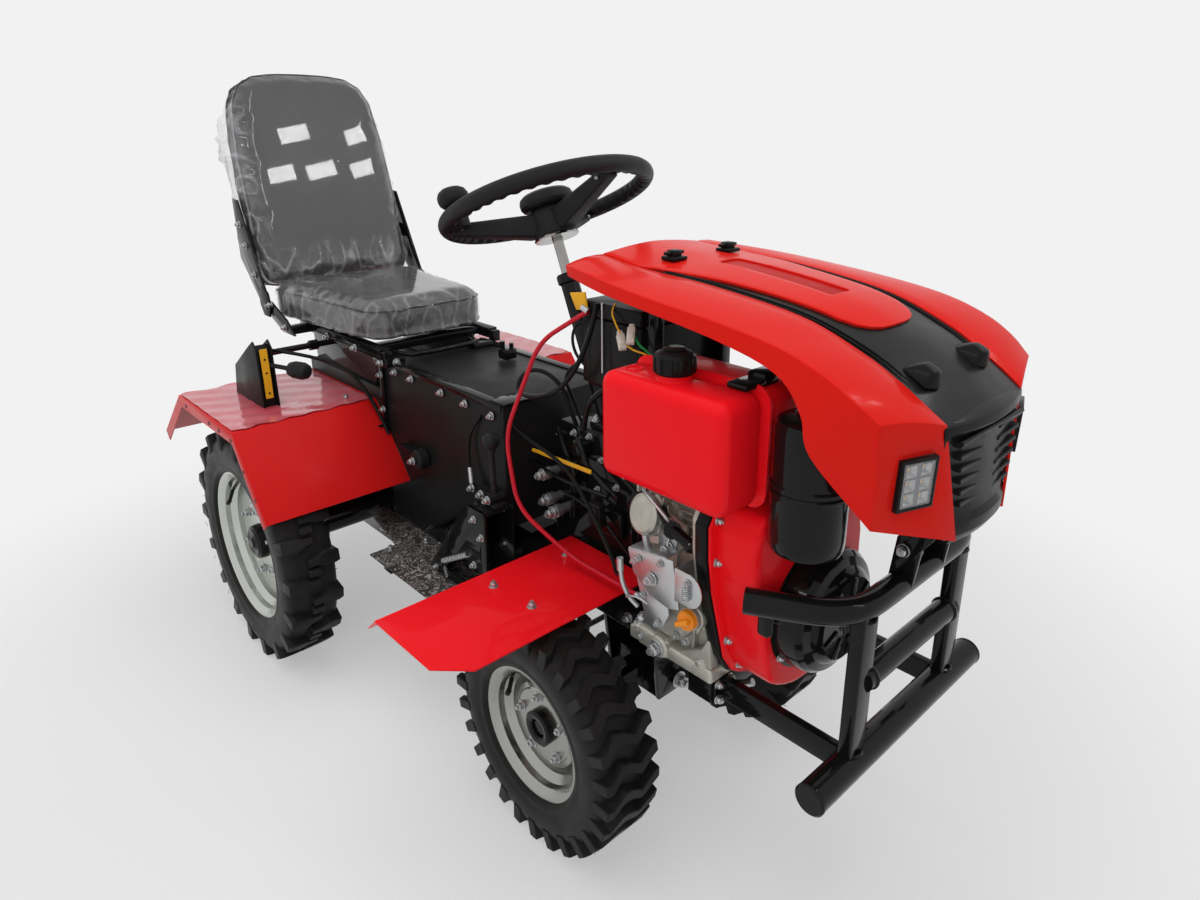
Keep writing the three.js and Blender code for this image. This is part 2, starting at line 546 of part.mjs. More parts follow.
function dashFrame() {
  const posts = SIDES.map(([, s]) => block(POST_X, mirrored([70, 90], s), [RAIL_Z[1] + GAP, POST_TOP]));
  const top = block([POST_X[0], POST_X[1] + 42], [-90, 90], [POST_TOP - 6, POST_TOP]);
  const shelf = block([POST_X[0] - 132, POST_X[1]], [-90, 90], [SHELF_TOP - 5, SHELF_TOP]);
  part("dash_frame", join(...posts, top, shelf), BLACK_STEEL);
}

function driveHousing() {
  const [rear, front] = HOUSING_X;
  const foot = RAIL_Z[1] + GAP;
  const outline = [[rear, foot], [front, foot], [front, HOUSING_TOP - 88], [front - 80, HOUSING_TOP],
    [rear + 20, HOUSING_TOP], [rear, HOUSING_TOP - 28]];
  const box = sideways(outline, [-44, 44]);
  const flange = block([rear - 22, rear + 50], [-98, 98], [foot, RAIL_Z[1] + 8]);
  part("drive_housing", join(box, flange), BLACK_STEEL);
}

function batteryBox() {
  const box = block([POST_X[0] - 136, POST_X[0] - GAP], [-BATTERY_HALF, BATTERY_HALF],
    [SHELF_TOP + GAP, SHELF_TOP + 136]);
  part("battery_box", box, BLACK_PLASTIC);
}

const tilt = THREE.MathUtils.degToRad(WHEEL_TILT);
const columnAxis = new THREE.Vector3(-Math.sin(tilt), 0, Math.cos(tilt));
const onColumn = (distance) => [WHEEL_CENTRE[0] + columnAxis.x * distance, 0,
  WHEEL_CENTRE[1] + columnAxis.z * distance];
const COLUMN_TOP = -132;
const COLUMN_FOOT = -416;

function steeringColumn() {
  const jacket = rod(onColumn(COLUMN_TOP), onColumn(COLUMN_FOOT), 17, 16);
  const floor = block([HOUSING_X[1] - 150, HOUSING_X[1] - 80], [-34, 34],
    [HOUSING_TOP + GAP, HOUSING_TOP + 12]);
  const below = block([HOUSING_X[0] - 40, HOUSING_X[1] + 20], [-60, 60], [500, HOUSING_TOP + 7]);
  part("steering_column", join(cut(jacket, below), floor), BLACK_STEEL);
}

function steeringWheel() {
  const spin = new THREE.Quaternion().setFromUnitVectors(new THREE.Vector3(0, 0, 1), columnAxis);
  const placed = (geometry) => solidOf(
    geometry.applyQuaternion(spin).translate(WHEEL_CENTRE[0], 0, WHEEL_CENTRE[1]));
  const rim = placed(new THREE.TorusGeometry(WHEEL_R, WHEEL_RIM_R, 8, 30));
  const hub = rod(onColumn(-52), onColumn(-14), 40, 20);
  const cap = rod(onColumn(-20), onColumn(16), 31, 20);
  const shaft = rod(onColumn(COLUMN_TOP + GAP), onColumn(-40), SHAFT_R, 12);
  const spokes = [0, 1, 2].map((i) => {
    const spoke = new THREE.BoxGeometry(WHEEL_R - 20, 30, 9).translate((WHEEL_R + 20) / 2, 0, 0);
    spoke.rotateY(THREE.MathUtils.degToRad(-9)).translate(0, 0, -30);
    return placed(spoke.rotateZ((i * 2 * Math.PI) / 3));
  });
  const knobAt = new THREE.Vector3(-52, -156, 0).applyQuaternion(spin);
  const base = [WHEEL_CENTRE[0] + knobAt.x, knobAt.y, WHEEL_CENTRE[1] + knobAt.z];
  const lift = (d) => [base[0] + columnAxis.x * d, base[1], base[2] + columnAxis.z * d];
  const stem = rod(lift(0), lift(34), 8, 12);
  const knob = rod(lift(18), lift(56), 24, 16);
  part("steering_wheel", join(rim, hub, cap, shaft, ...spokes, stem, knob), BLACK_PLASTIC);
}

// ---------------------------------------------------------------- seat
function seatFrame() {
  const z = SEAT_RAIL_Z;
  const rails = SIDES.map(([, s]) => block([-215, 190], mirrored(SEAT_RAIL_Y, s), z));
  const cross = [-190, 110].map((x) => block([x, x + 40], [-SEAT_RAIL_Y[1], SEAT_RAIL_Y[1]],
    [z[0] - 4, z[1] - 4]));
  const legs = SIDES.map(([, s]) => sideways([[-200, BODY_REAR_TOP + GAP], [100, BODY_REAR_TOP + GAP],
    [142, z[0]], [-215, z[0]]], mirrored([118, 123], s)));
  const feet = SIDES.map(([, s]) => block([-195, 95], mirrored([95, 123], s),
    [BODY_REAR_TOP + GAP, BODY_REAR_TOP + 5]));
  const plates = SIDES.map(([, s]) => sideways([[-175, z[0]], [-110, z[0]], [-150, z[0] + 32],
    [RECLINE.x + 18, RECLINE.z + 12], [RECLINE.x - 18, RECLINE.z + 12], [RECLINE.x - 18, RECLINE.z - 14]],
  mirrored([RECLINE.y, RECLINE.y + 5], s)));
  const ties = SIDES.map(([, s]) => block([-170, -130], mirrored([SEAT_RAIL_Y[0], RECLINE.y + 5], s), z));
  const pins = SIDES.map(([, s]) => rod([RECLINE.x, s * (RECLINE.y - 1), RECLINE.z],
    [RECLINE.x, s * (RECLINE.y + 12), RECLINE.z], RECLINE.r, 14));
  part("seat_frame", join(...rails, ...cross, ...legs, ...feet, ...plates, ...ties, ...pins), BLACK_STEEL);
}

const backRise = new THREE.Vector2(BACK.top[0] - BACK.foot[0], BACK.top[1] - BACK.foot[1]);
const backUp = backRise.clone().normalize();
const backRear = new THREE.Vector2(-backUp.y, backUp.x);
const onBack = (up, rear) => [BACK.foot[0] + backUp.x * up + backRear.x * rear,
  BACK.foot[1] + backUp.y * up + backRear.y * rear];

function backrestFrame() {
  const rear = BACK.thick + GAP;
  const y = [RECLINE.y + 5 + GAP, RECLINE.y + 10];
  const links = SIDES.map(([, s]) => sideways([[RECLINE.x + 16, RECLINE.z - 14],
    [RECLINE.x + 18, RECLINE.z + 12], onBack(190, 34), onBack(200, 62), onBack(60, rear + 22),
    [RECLINE.x - 18, RECLINE.z - 6]], mirrored(y, s)));
  const bores = SIDES.map(([, s]) => rod([RECLINE.x, s * (y[0] - 5), RECLINE.z],
    [RECLINE.x, s * (y[1] + 5), RECLINE.z], RECLINE.r + RUN, 14));
  const crossOutline = [onBack(70, rear), onBack(110, rear), onBack(110, rear + 14), onBack(70, rear + 14)];
  const cross = sideways(crossOutline, [-y[1], y[1]]);
  part("backrest_frame", cut(join(...links, cross), ...bores), BLACK_STEEL);
}

function roundedPlan(half, length, radius) {
  const shape = new THREE.Shape();
  shape.moveTo(-half + 12, 0);
  shape.lineTo(half - 12, 0);
  shape.lineTo(half, 12);
  shape.lineTo(half, length - radius);
  shape.absarc(half - radius, length - radius, radius, 0, Math.PI / 2);
  shape.absarc(-half + radius, length - radius, radius, Math.PI / 2, Math.PI);
  shape.lineTo(-half, 12);
  return shape;
}

function seatBack() {
  const geometry = extruded(roundedPlan(BACK.half, backRise.length(), 64), BACK.thick);
  const turn = new THREE.Matrix4().makeBasis(new THREE.Vector3(0, 1, 0),
    new THREE.Vector3(backUp.x, 0, backUp.y), new THREE.Vector3(backUp.y, 0, -backUp.x));
  geometry.applyMatrix4(turn);
  const [x, z] = onBack(0, BACK.thick);
  part("seat_back", solidOf(geometry.translate(x, 0, z)), VINYL);
}

function seatCushion() {
  const { x, rearY, frontY, z } = CUSHION;
  const round = 50;
  const shape = new THREE.Shape();
  shape.moveTo(x[0], -rearY + 15);
  shape.lineTo(x[0] + 15, -rearY);
  shape.lineTo(x[1] - round - 60, -frontY - 12);
  shape.quadraticCurveTo(x[1], -frontY - 4, x[1], -frontY + round);
  shape.lineTo(x[1], frontY - round);
  shape.quadraticCurveTo(x[1], frontY + 4, x[1] - round - 60, frontY + 12);
  shape.lineTo(x[0] + 15, rearY);
  shape.lineTo(x[0], rearY - 15);
  part("seat_cushion", upright(shape, z), VINYL);
}

// ---------------------------------------------------------------- bonnet
// each station from rear to front: the band's edge, the crease and the lower edge of a wing,
// with x counted from the guard's plane
const STATION_OFFSETS = [
  { band: [-493, 104, 977], crease: [-495, 177, 968], lower: [-486, 181, 954] },
  { band: [-383, 116, 968], crease: [-398, 198, 962], lower: [-396, 201, 944] },
  { band: [-276, 113, 961], crease: [-298, 209, 952], lower: [-294, 212, 934] },
  { band: [-136, 108, 942], crease: [-178, 210, 938], lower: [-173, 214, 910] },
  { band: [-48, 106, 912], crease: [-86, 208, 911], lower: [-88, 213, 866] },
  { band: [12, 103, 881], crease: [-28, 206, 886], lower: [-42, 213, 798] },
  { band: [58, 101, 850], crease: [12, 203, 866], lower: [4, 208, 720] },
];
const fromGuard = ([x, y, z]) => [GUARD_X + x, y, z];
const STATIONS = STATION_OFFSETS.map(({ band, crease, lower }) => ({
  band: fromGuard(band), crease: fromGuard(crease), lower: fromGuard(lower),
}));
const LOWER_CORNER = [GUARD_X + 71, 66, 700];
const BONNET_WALL = 4;
const LAMP_SIZE = [52, 46];

function wingSolid(side) {
  const last = STATIONS.length - 1;
  const points = flipped(STATIONS.flatMap((s) => [s.band, s.crease, s.lower]).concat([LOWER_CORNER]), side);
  const faces = [];
  for (let i = 0; i < last; i += 1) {
    const [a, b] = [3 * i, 3 * i + 3];
    faces.push([a, b, b + 1, a + 1], [a + 1, b + 1, b + 2, a + 2]);
  }
  faces.push([3 * last, 3 * last + 3, 3 * last + 2, 3 * last + 1]);
  return sheet(points, side > 0 ? faces : faces.map((f) => [...f].reverse()), BONNET_WALL);
}

// the lamp's frame on the wing's front facet
function lampPlacement(side) {
  const last = STATIONS[STATIONS.length - 1];
  const [a, b, c, d] = flipped([last.crease, last.band, LOWER_CORNER, last.lower], side)
    .map((p) => new THREE.Vector3(...p));
  const centre = a.clone().add(b).add(c).add(d).multiplyScalar(0.25);
  const out = b.clone().sub(d).cross(c.clone().sub(a)).normalize();
  if (out.x < 0) out.negate();
  const across = new THREE.Vector3(0, 0, 1).cross(out).normalize();
  const up = out.clone().cross(across);
  return new THREE.Matrix4().makeBasis(across, up, out).setPosition(centre);
}

function lampBlock(side, grow) {
  const geometry = new THREE.BoxGeometry(LAMP_SIZE[0] + 2 * grow, LAMP_SIZE[1] + 2 * grow, 26 + 40 * grow);
  return solidOf(geometry.translate(0, 0, -7).applyMatrix4(lampPlacement(side)));
}

function bonnetWing(word, side) {
  part(`${word}_bonnet_wing`, cut(wingSolid(side), lampBlock(side, 0.4)), RED);
  part(`${word}_headlight`, lampBlock(side, 0), LAMP);
}

function bonnetCentre() {
  const rows = [...STATIONS.map((s) => s.band), LOWER_CORNER];
  const crown = 9;
  const points = rows.flatMap(([x, y, z], i) => {
    const front = i === rows.length - 1;
    const inset = i < rows.length - 2 ? 0.5 : 5;
    const middle = front ? [x + 6, 0, z - 12] : [x + (i === rows.length - 2 ? 8 : 0), 0, z + crown];
    return [[x, inset - y, z], middle, [x, y - inset, z]];
  });
  const faces = rows.slice(1).flatMap((_, i) => {
    const [a, b] = [3 * i, 3 * i + 3];
    return [[a, b, b + 1, a + 1], [a + 1, b + 1, b + 2, a + 2]];
  });
  part("bonnet_centre", sheet(points, faces, BONNET_WALL), BLACK_PLASTIC);
}

function bonnetHinge() {
  const fromHinge = (points) => points.map(([x, z]) => [HINGE.x + x, z]);
  const tube = rod([HINGE.x, -62, HINGE.z], [HINGE.x, 62, HINGE.z], HINGE.r, 14);
  const arms = SIDES.map(([, s]) => sideways([[HINGE.x - 10, HINGE.z - 8], [HINGE.x + 12, HINGE.z - 8],
    ...fromHinge([[55, 716], [53, 750], [45, 786], [29, 786], [33, 730]])], mirrored([49, 55], s)));
  const strip = sideways(fromHinge([[49, 724], [58.7, 724], [54.7, 788], [45, 788]]), [-52, 52]);
  part("bonnet_hinge", join(tube, ...arms, strip), BLACK_STEEL);
}

// ---------------------------------------------------------------- small controls
const PEDAL_TOP = 490;
const PEDAL_FRONT = BODY_FRONT + 22;

function throttleQuadrant() {
  const z = REAR_FENDER.topZ + GAP;
  const box = sideways([[-150, z], [15, z], [10, 706], [-6, 722], [-132, 645]], [-345, -309]);
  const stalk = rod([5, -320, 668], [60, -292, 664], 5, 10);
  const grip = rod([52, -296, 664.5], [118, -262, 660], 14, 14);
  part("throttle_quadrant", join(box, stalk, grip), BLACK_PLASTIC);
}

function gearLever() {
  const [x, y, z] = [BODY_FRONT + 2, -BODY_HALF - 27, PEDAL_TOP + GAP];
  const foot = block([x - 18, x + 18], [y - 15, y + 15], [z, PEDAL_TOP + 8]);
  const stick = rod([x, y, PEDAL_TOP + 2], [x - 4, y - 1, PEDAL_TOP + 110], 6, 10);
  const knob = rod([x - 3.6, y - 1, PEDAL_TOP + 102], [x - 4, y - 1, PEDAL_TOP + 138], 18, 16);
  part("gear_lever", join(foot, stick, knob), BLACK_PLASTIC);
}

function pedalBox(word, side) {
  const z = FLOOR_Z + GAP;
  const y = [BODY_HALF + GAP, BODY_HALF + 68];
  const [tip, front] = [PEDAL_FRONT - 214, PEDAL_FRONT];
  const outline = [[tip, z], [front, z], [front, PEDAL_TOP], [front - 64, PEDAL_TOP]];
  const cavity = [[tip + 10, z - 10], [front + 16, z - 10], [front + 16, PEDAL_TOP - 3],
    [front - 63, PEDAL_TOP - 3]];
  const shell = cut(sideways(outline, mirrored(y, side)),
    sideways(cavity, mirrored([y[0] - 9, y[1] - 4], side)));
  part(`${word}_pedal_box`, shell, BLACK_STEEL);
}

function clutchCable() {
  const radius = 4;
  const socket = [CRANKCASE_X[0] + 8 - 2 * GAP, -130, 446];
  const tube = bentTube([[POST_X[0] - 116, -BATTERY_HALF - radius - GAP, 882], [WHEELBASE - 141, -128, 820],
    [WHEELBASE - 193, -168, 650], [WHEELBASE - 163, -170, 520], [WHEELBASE - 63, ...socket.slice(1)], socket],
  radius, 40, 8);
  part("red_cable", tube, CABLE_RED);
}

// ---------------------------------------------------------------- assembly
chassisFrame();
frontGuard();
rearAxleCase();
tunnelBody();
driveHousing();
frontAxleBeam();
tieRod();
for (const [word, side] of SIDES) {
  knuckle(word, side);
  wheel(`front_${word}`, FRONT, side, WHEELBASE);
  wheel(`rear_${word}`, REAR, side, 0);
  rearFender(word, side);
  frontFender(word, side);
  floorPlate(word, side);
  pedalBox(word, side);
  bonnetWing(word, side);
}
bonnetCentre();
bonnetHinge();
engine();
fanShroud();
recoilStarter();
fuelTank();
fuelCap();
airFilter();
muffler();
dashFrame();
batteryBox();
steeringColumn();
steeringWheel();
seatFrame();
backrestFrame();
seatCushion();
seatBack();
throttleQuadrant();
gearLever();
clutchCable();

group.updateMatrixWorld(true);
const span = new THREE.Box3().setFromObject(group);
group.position.x = -(span.min.x + span.max.x) / 2;
group.updateMatrixWorld(true);

export default group;
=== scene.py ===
# A ride-on mini tractor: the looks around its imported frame.
# Sizes in the calls below are millimetres, counted from the rear axle's centre line (x), the tractor's
# middle (y) and the ground (z). at() turns them into the row frame in metres.
import json
import math
import random
from contextlib import contextmanager

import bmesh
import bpy
import numpy as np
from mathutils import Matrix, Vector, noise
from mathutils.bvhtree import BVHTree

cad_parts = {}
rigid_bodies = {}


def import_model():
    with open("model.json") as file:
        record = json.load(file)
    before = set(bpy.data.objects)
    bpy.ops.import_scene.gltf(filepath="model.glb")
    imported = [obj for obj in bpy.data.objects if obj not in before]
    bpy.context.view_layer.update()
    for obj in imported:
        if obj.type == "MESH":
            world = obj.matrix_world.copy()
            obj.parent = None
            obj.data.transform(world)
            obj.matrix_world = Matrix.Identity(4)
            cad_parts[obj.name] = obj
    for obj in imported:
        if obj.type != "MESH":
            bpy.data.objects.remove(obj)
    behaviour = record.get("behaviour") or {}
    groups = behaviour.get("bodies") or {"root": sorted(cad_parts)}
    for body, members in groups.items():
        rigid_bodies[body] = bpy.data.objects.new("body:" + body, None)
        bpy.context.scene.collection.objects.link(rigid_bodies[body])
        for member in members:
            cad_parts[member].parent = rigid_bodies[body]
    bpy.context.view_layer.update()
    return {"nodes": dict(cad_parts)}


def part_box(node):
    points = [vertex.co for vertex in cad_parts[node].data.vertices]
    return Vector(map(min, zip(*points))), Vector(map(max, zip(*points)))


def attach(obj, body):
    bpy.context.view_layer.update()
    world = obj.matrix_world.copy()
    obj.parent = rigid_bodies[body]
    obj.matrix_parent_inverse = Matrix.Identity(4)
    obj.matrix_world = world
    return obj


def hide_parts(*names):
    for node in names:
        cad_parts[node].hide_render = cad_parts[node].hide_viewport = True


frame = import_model()
MM = 0.001
SIDES = (("right", -1), ("left", 1))
RIGHT, LEFT, UP, AHEAD, ASTERN = (0, -1, 0), (0, 1, 0), (0, 0, 1), (1, 0, 0), (-1, 0, 0)
# a face or edge whose direction has a share above this along an axis counts as facing along it
FACING = 0.9

axle_low, axle_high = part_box("rear_right_tyre")
AXLE_X = (axle_low.x + axle_high.x) / 2


def at(x, y, z):
    return Vector((AXLE_X + x * MM, y * MM, z * MM))


# ---------------------------------------------------------------- camera
CAMERA_PLACE = (1749.99, -934.91, 1162.28)
CAMERA_YAW = 136.52
CAMERA_PITCH = 18.0
CAMERA_LENS = 24.348
CAMERA_SHIFT = (-0.01371, -0.05117)


def camera():
    data = bpy.data.cameras.new("camera")
    data.sensor_width = 36
    data.lens = CAMERA_LENS
    data.shift_x, data.shift_y = CAMERA_SHIFT
    data.clip_start = 0.02
    eye = bpy.data.objects.new("camera", data)
    eye.location = at(*CAMERA_PLACE)
    eye.rotation_euler = (math.radians(90 - CAMERA_PITCH), 0, math.radians(CAMERA_YAW - 90))
    bpy.context.scene.collection.objects.link(eye)
    bpy.context.scene.camera = eye


# ---------------------------------------------------------------- bench tools
def calm():
    held = bpy.context.view_layer.objects.active
    if held and held.mode != "OBJECT":
        bpy.ops.object.mode_set(mode="OBJECT")
    bpy.ops.object.select_all(action="DESELECT")


def take(*pieces):
    calm()
    for piece in pieces:
        piece.select_set(True)
    bpy.context.view_layer.objects.active = pieces[0]
    return pieces[0]


def named(name):
    piece = bpy.context.view_layer.objects.active
    piece.name = name
    piece.data.name = name
    take(piece)
    bpy.ops.object.transform_apply(location=True, rotation=True, scale=True)
    return piece


def slab(name, low, high):
    a, b = at(*low), at(*high)
    calm()
    bpy.ops.mesh.primitive_cube_add(size=1, location=(a + b) / 2, scale=b - a)
    return named(name)


def rod(name, start, end, radius, sides=24, radius_end=None):
    a, b = at(*start), at(*end)
    run = b - a
    calm()
    tip = radius if radius_end is None else radius_end
    bpy.ops.mesh.primitive_cone_add(vertices=sides, radius1=radius * MM, radius2=tip * MM, depth=run.length,
                                    location=(a + b) / 2, rotation=run.to_track_quat("Z", "Y").to_euler())
    return named(name)


def ball(name, centre, radius, squeeze=(1, 1, 1), rings=12):
    calm()
    bpy.ops.mesh.primitive_uv_sphere_add(segments=rings * 2, ring_count=rings, radius=radius * MM,
                                         location=at(*centre), scale=squeeze)
    return named(name)


def ring(name, centre, axis, major, minor, turns=48, sides=12):
    calm()
    turn = Vector(axis).to_track_quat("Z", "Y").to_euler()
    bpy.ops.mesh.primitive_torus_add(major_segments=turns, minor_segments=sides, major_radius=major * MM,
                                     minor_radius=minor * MM, location=at(*centre), rotation=turn)
    return named(name)


def shell(name, points, faces):
    mesh = bpy.data.meshes.new(name)
    mesh.from_pydata([tuple(p) for p in points], [], faces)
    piece = bpy.data.objects.new(name, mesh)
    bpy.context.scene.collection.objects.link(piece)
    return piece


def fit(piece, kind, **settings):
    modifier = piece.modifiers.new(kind.title(), kind)
    for key, value in settings.items():
        setattr(modifier, key, value)
    take(piece)
    bpy.ops.object.modifier_apply(modifier=modifier.name)
    return piece


def soften(piece, width, segments=2, angle=30, smooth=True):
    fit(piece, "BEVEL", width=width * MM, segments=segments, limit_method="ANGLE",
        angle_limit=math.radians(angle), harden_normals=False)
    if smooth:
        smoothed(piece, 35)
    return piece


def smoothed(piece, angle=35):
    take(piece)
    bpy.ops.object.shade_smooth_by_angle(angle=math.radians(angle))
    return piece


@contextmanager
def editing(piece, action="SELECT"):
    """edit mode on one piece, with all of it selected or nothing"""
    take(piece)
    bpy.ops.object.mode_set(mode="EDIT")
    bpy.ops.mesh.select_all(action=action)
    yield
    bpy.ops.object.mode_set(mode="OBJECT")


def pick(piece, parts, wanted):
    """in edit mode, selects the faces or edges that are wanted"""
    mesh = bmesh.from_edit_mesh(piece.data)
    for part in getattr(mesh, parts):
        part.select_set(wanted(part))
    bmesh.update_edit_mesh(piece.data)


def outward(piece, gap=0.02):
    with editing(piece):
        bpy.ops.mesh.remove_doubles(threshold=gap * MM)
        bpy.ops.mesh.normals_make_consistent(inside=False)
    return piece


def pulled(piece, pull):
    """a flat face pulled out into a closed block"""
    with editing(piece):
        bpy.ops.mesh.extrude_region_move(TRANSFORM_OT_translate={"value": pull})
        bpy.ops.mesh.select_all(action="SELECT")
        bpy.ops.mesh.normals_make_consistent(inside=False)
    return piece


def cut(piece, tool):
    """takes the tool's shape out of a piece and removes the tool"""
    fit(piece, "BOOLEAN", object=tool, operation="DIFFERENCE", solver="EXACT")
    bpy.data.objects.remove(tool)


def plate(name, outline, axis, span):
    """a flat outline (two coordinates each) pulled out along x, y or z between two distances"""
    place = {"x": lambda a, b, c: at(c, a, b), "y": lambda a, b, c: at(a, c, b), "z": lambda a, b, c: at(a, b, c)}[axis]
    piece = shell(name, [place(a, b, span[0]) for a, b in outline], [tuple(range(len(outline)))])
    return pulled(piece, place(0, 0, span[1]) - place(0, 0, span[0]))


def block(name, low, high, edge, segments=2, **ways):
    """a slab with rounded edges"""
    return soften(slab(name, low, high), edge, segments, **ways)


def panel(name, outline, axis, span, edge, segments=2, **ways):
    """a plate with rounded edges"""
    return soften(plate(name, outline, axis, span), edge, segments, **ways)


def beside(side, near, far):
    """the two distances on one side of the machine, lower first"""
    return sorted((side * near, side * far))


def turned(name, profile, centre, axis, steps=48, smooth=30):
    """a line of (radius, distance along the axis) spun right round the axis"""
    along = Vector(axis).normalized()
    side = along.orthogonal().normalized()
    middle = at(*centre)
    points = [middle + side * (r * MM) + along * (d * MM) for r, d in profile]
    mesh = bpy.data.meshes.new(name)
    mesh.from_pydata([tuple(p) for p in points], [(i, i + 1) for i in range(len(points) - 1)], [])
    piece = bpy.data.objects.new(name, mesh)
    bpy.context.scene.collection.objects.link(piece)
    with editing(piece):
        bpy.ops.mesh.spin(steps=steps, dupli=False, angle=2 * math.pi, center=middle, axis=along)
    outward(piece, 0.01)
    return smoothed(piece, smooth)


def pipe(name, route, radius, sides=10, smooth_steps=6, closed=False):
    """a round tube or cable on a smooth line through the route's points"""
    curve = bpy.data.curves.new(name, "CURVE")
    curve.dimensions = "3D"
    curve.bevel_depth = radius * MM
    curve.bevel_resolution = max(1, sides // 4)
    curve.use_fill_caps = not closed
    curve.resolution_u = smooth_steps
    spline = curve.splines.new("NURBS")
    spline.points.add(len(route) - 1)
    for point, place in zip(spline.points, route):
        point.co = (*at(*place), 1)
    spline.order_u = 3
    spline.use_endpoint_u = not closed
    spline.use_cyclic_u = closed
    piece = bpy.data.objects.new(name, curve)
    bpy.context.scene.collection.objects.link(piece)
    take(piece)
    bpy.ops.object.convert(target="MESH")
    piece = bpy.context.view_layer.objects.active
    return smoothed(outward(piece, 0.001), 50)


def join(name, pieces):
    take(*pieces)
    if len(pieces) > 1:
        bpy.ops.object.join()
    piece = bpy.context.view_layer.objects.active
    piece.name = name
    piece.data.name = name
    return piece


def copied(piece, matrix):
    mesh = piece.data.copy()
    mesh.transform(matrix)
    if matrix.determinant() < 0:
        mesh.flip_normals()
    twin = bpy.data.objects.new(piece.name, mesh)
    bpy.context.scene.collection.objects.link(twin)
    return twin


def about(centre, axis, angle):
    place = Matrix.Translation(at(*centre))
    return place @ Matrix.Rotation(angle, 4, Vector(axis)) @ place.inverted()


def round_about(name, piece, centre, axis, count, offset=0.0):
    twins = [copied(piece, about(centre, axis, offset + 2 * math.pi * i / count)) for i in range(count)]
    bpy.data.objects.remove(piece)
    return join(name, twins)


MIRROR = Matrix.Diagonal((1, -1, 1, 1))


def dress(piece, look, *nodes, body="chassis", slot=None):
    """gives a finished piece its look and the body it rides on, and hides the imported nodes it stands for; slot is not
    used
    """
    piece.data.materials.clear()
    piece.data.materials.append(look)
    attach(piece, body)
    if nodes:
        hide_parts(*nodes)
    return piece


# a hexagon-head screw, modelled once at the origin pointing up, then set down along any direction
def screw_pattern(size, washer=True):
    parts = []
    calm()
    bpy.ops.mesh.primitive_cylinder_add(vertices=6, radius=size * MM, depth=size * 1.1 * MM,
                                        location=(0, 0, size * 0.75 * MM))
    head = named("screw")
    soften(head, size * 0.12, 1)
    parts.append(head)
    if washer:
        calm()
        bpy.ops.mesh.primitive_cylinder_add(vertices=16, radius=size * 1.35 * MM, depth=size * 0.25 * MM,
                                            location=(0, 0, size * 0.12 * MM))
        parts.append(soften(named("washer"), size * 0.06, 1))
    calm()
    bpy.ops.mesh.primitive_cylinder_add(vertices=10, radius=size * 0.5 * MM, depth=size * 0.7 * MM,
                                        location=(0, 0, size * 1.5 * MM))
    parts.append(named("thread"))
    return join("screw", parts)


def screws(name, places, size, body="chassis", washer=True):
    """places are (point, direction the head faces)"""
    pattern = screw_pattern(size, washer)
    twins = []
    for point, facing in places:
        turn = Vector(facing).to_track_quat("Z", "Y").to_matrix().to_4x4()
        twins.append(copied(pattern, Matrix.Translation(at(*point)) @ turn))
    bpy.data.objects.remove(pattern)
    return dress(join(name, twins), ZINC_BRIGHT, body=body)


# ---------------------------------------------------------------- finishes
# a finish with no second colour of its own mottles towards a darker shade of the first
TINT_DIP = 0.8


def node_of(nodes, kind, values=None, **ways):
    """a new shader node: ways are set on the node itself, values on its sockets"""
    node = nodes.new("ShaderNode" + kind)
    for key, value in ways.items():
        setattr(node, key, value)
    for key, value in (values or {}).items():
        node.inputs[key].default_value = value
    return node


def ramp(nodes, links, source, low, high, start, end):
    node = node_of(nodes, "MapRange", {"From Min": low, "From Max": high, "To Min": start, "To Max": end})
    links.new(source, node.inputs["Value"])
    return node.outputs["Result"]


def mixed(nodes, links, share, first, second):
    """two colours mixed by share; the first may be a colour or a socket"""
    node = node_of(nodes, "Mix", {"B": (*second, 1)}, data_type="RGBA")
    links.new(share, node.inputs["Factor"])
    if isinstance(first, tuple):
        node.inputs["A"].default_value = (*first, 1)
    else:
        links.new(first, node.inputs["A"])
    return node.outputs["Result"]


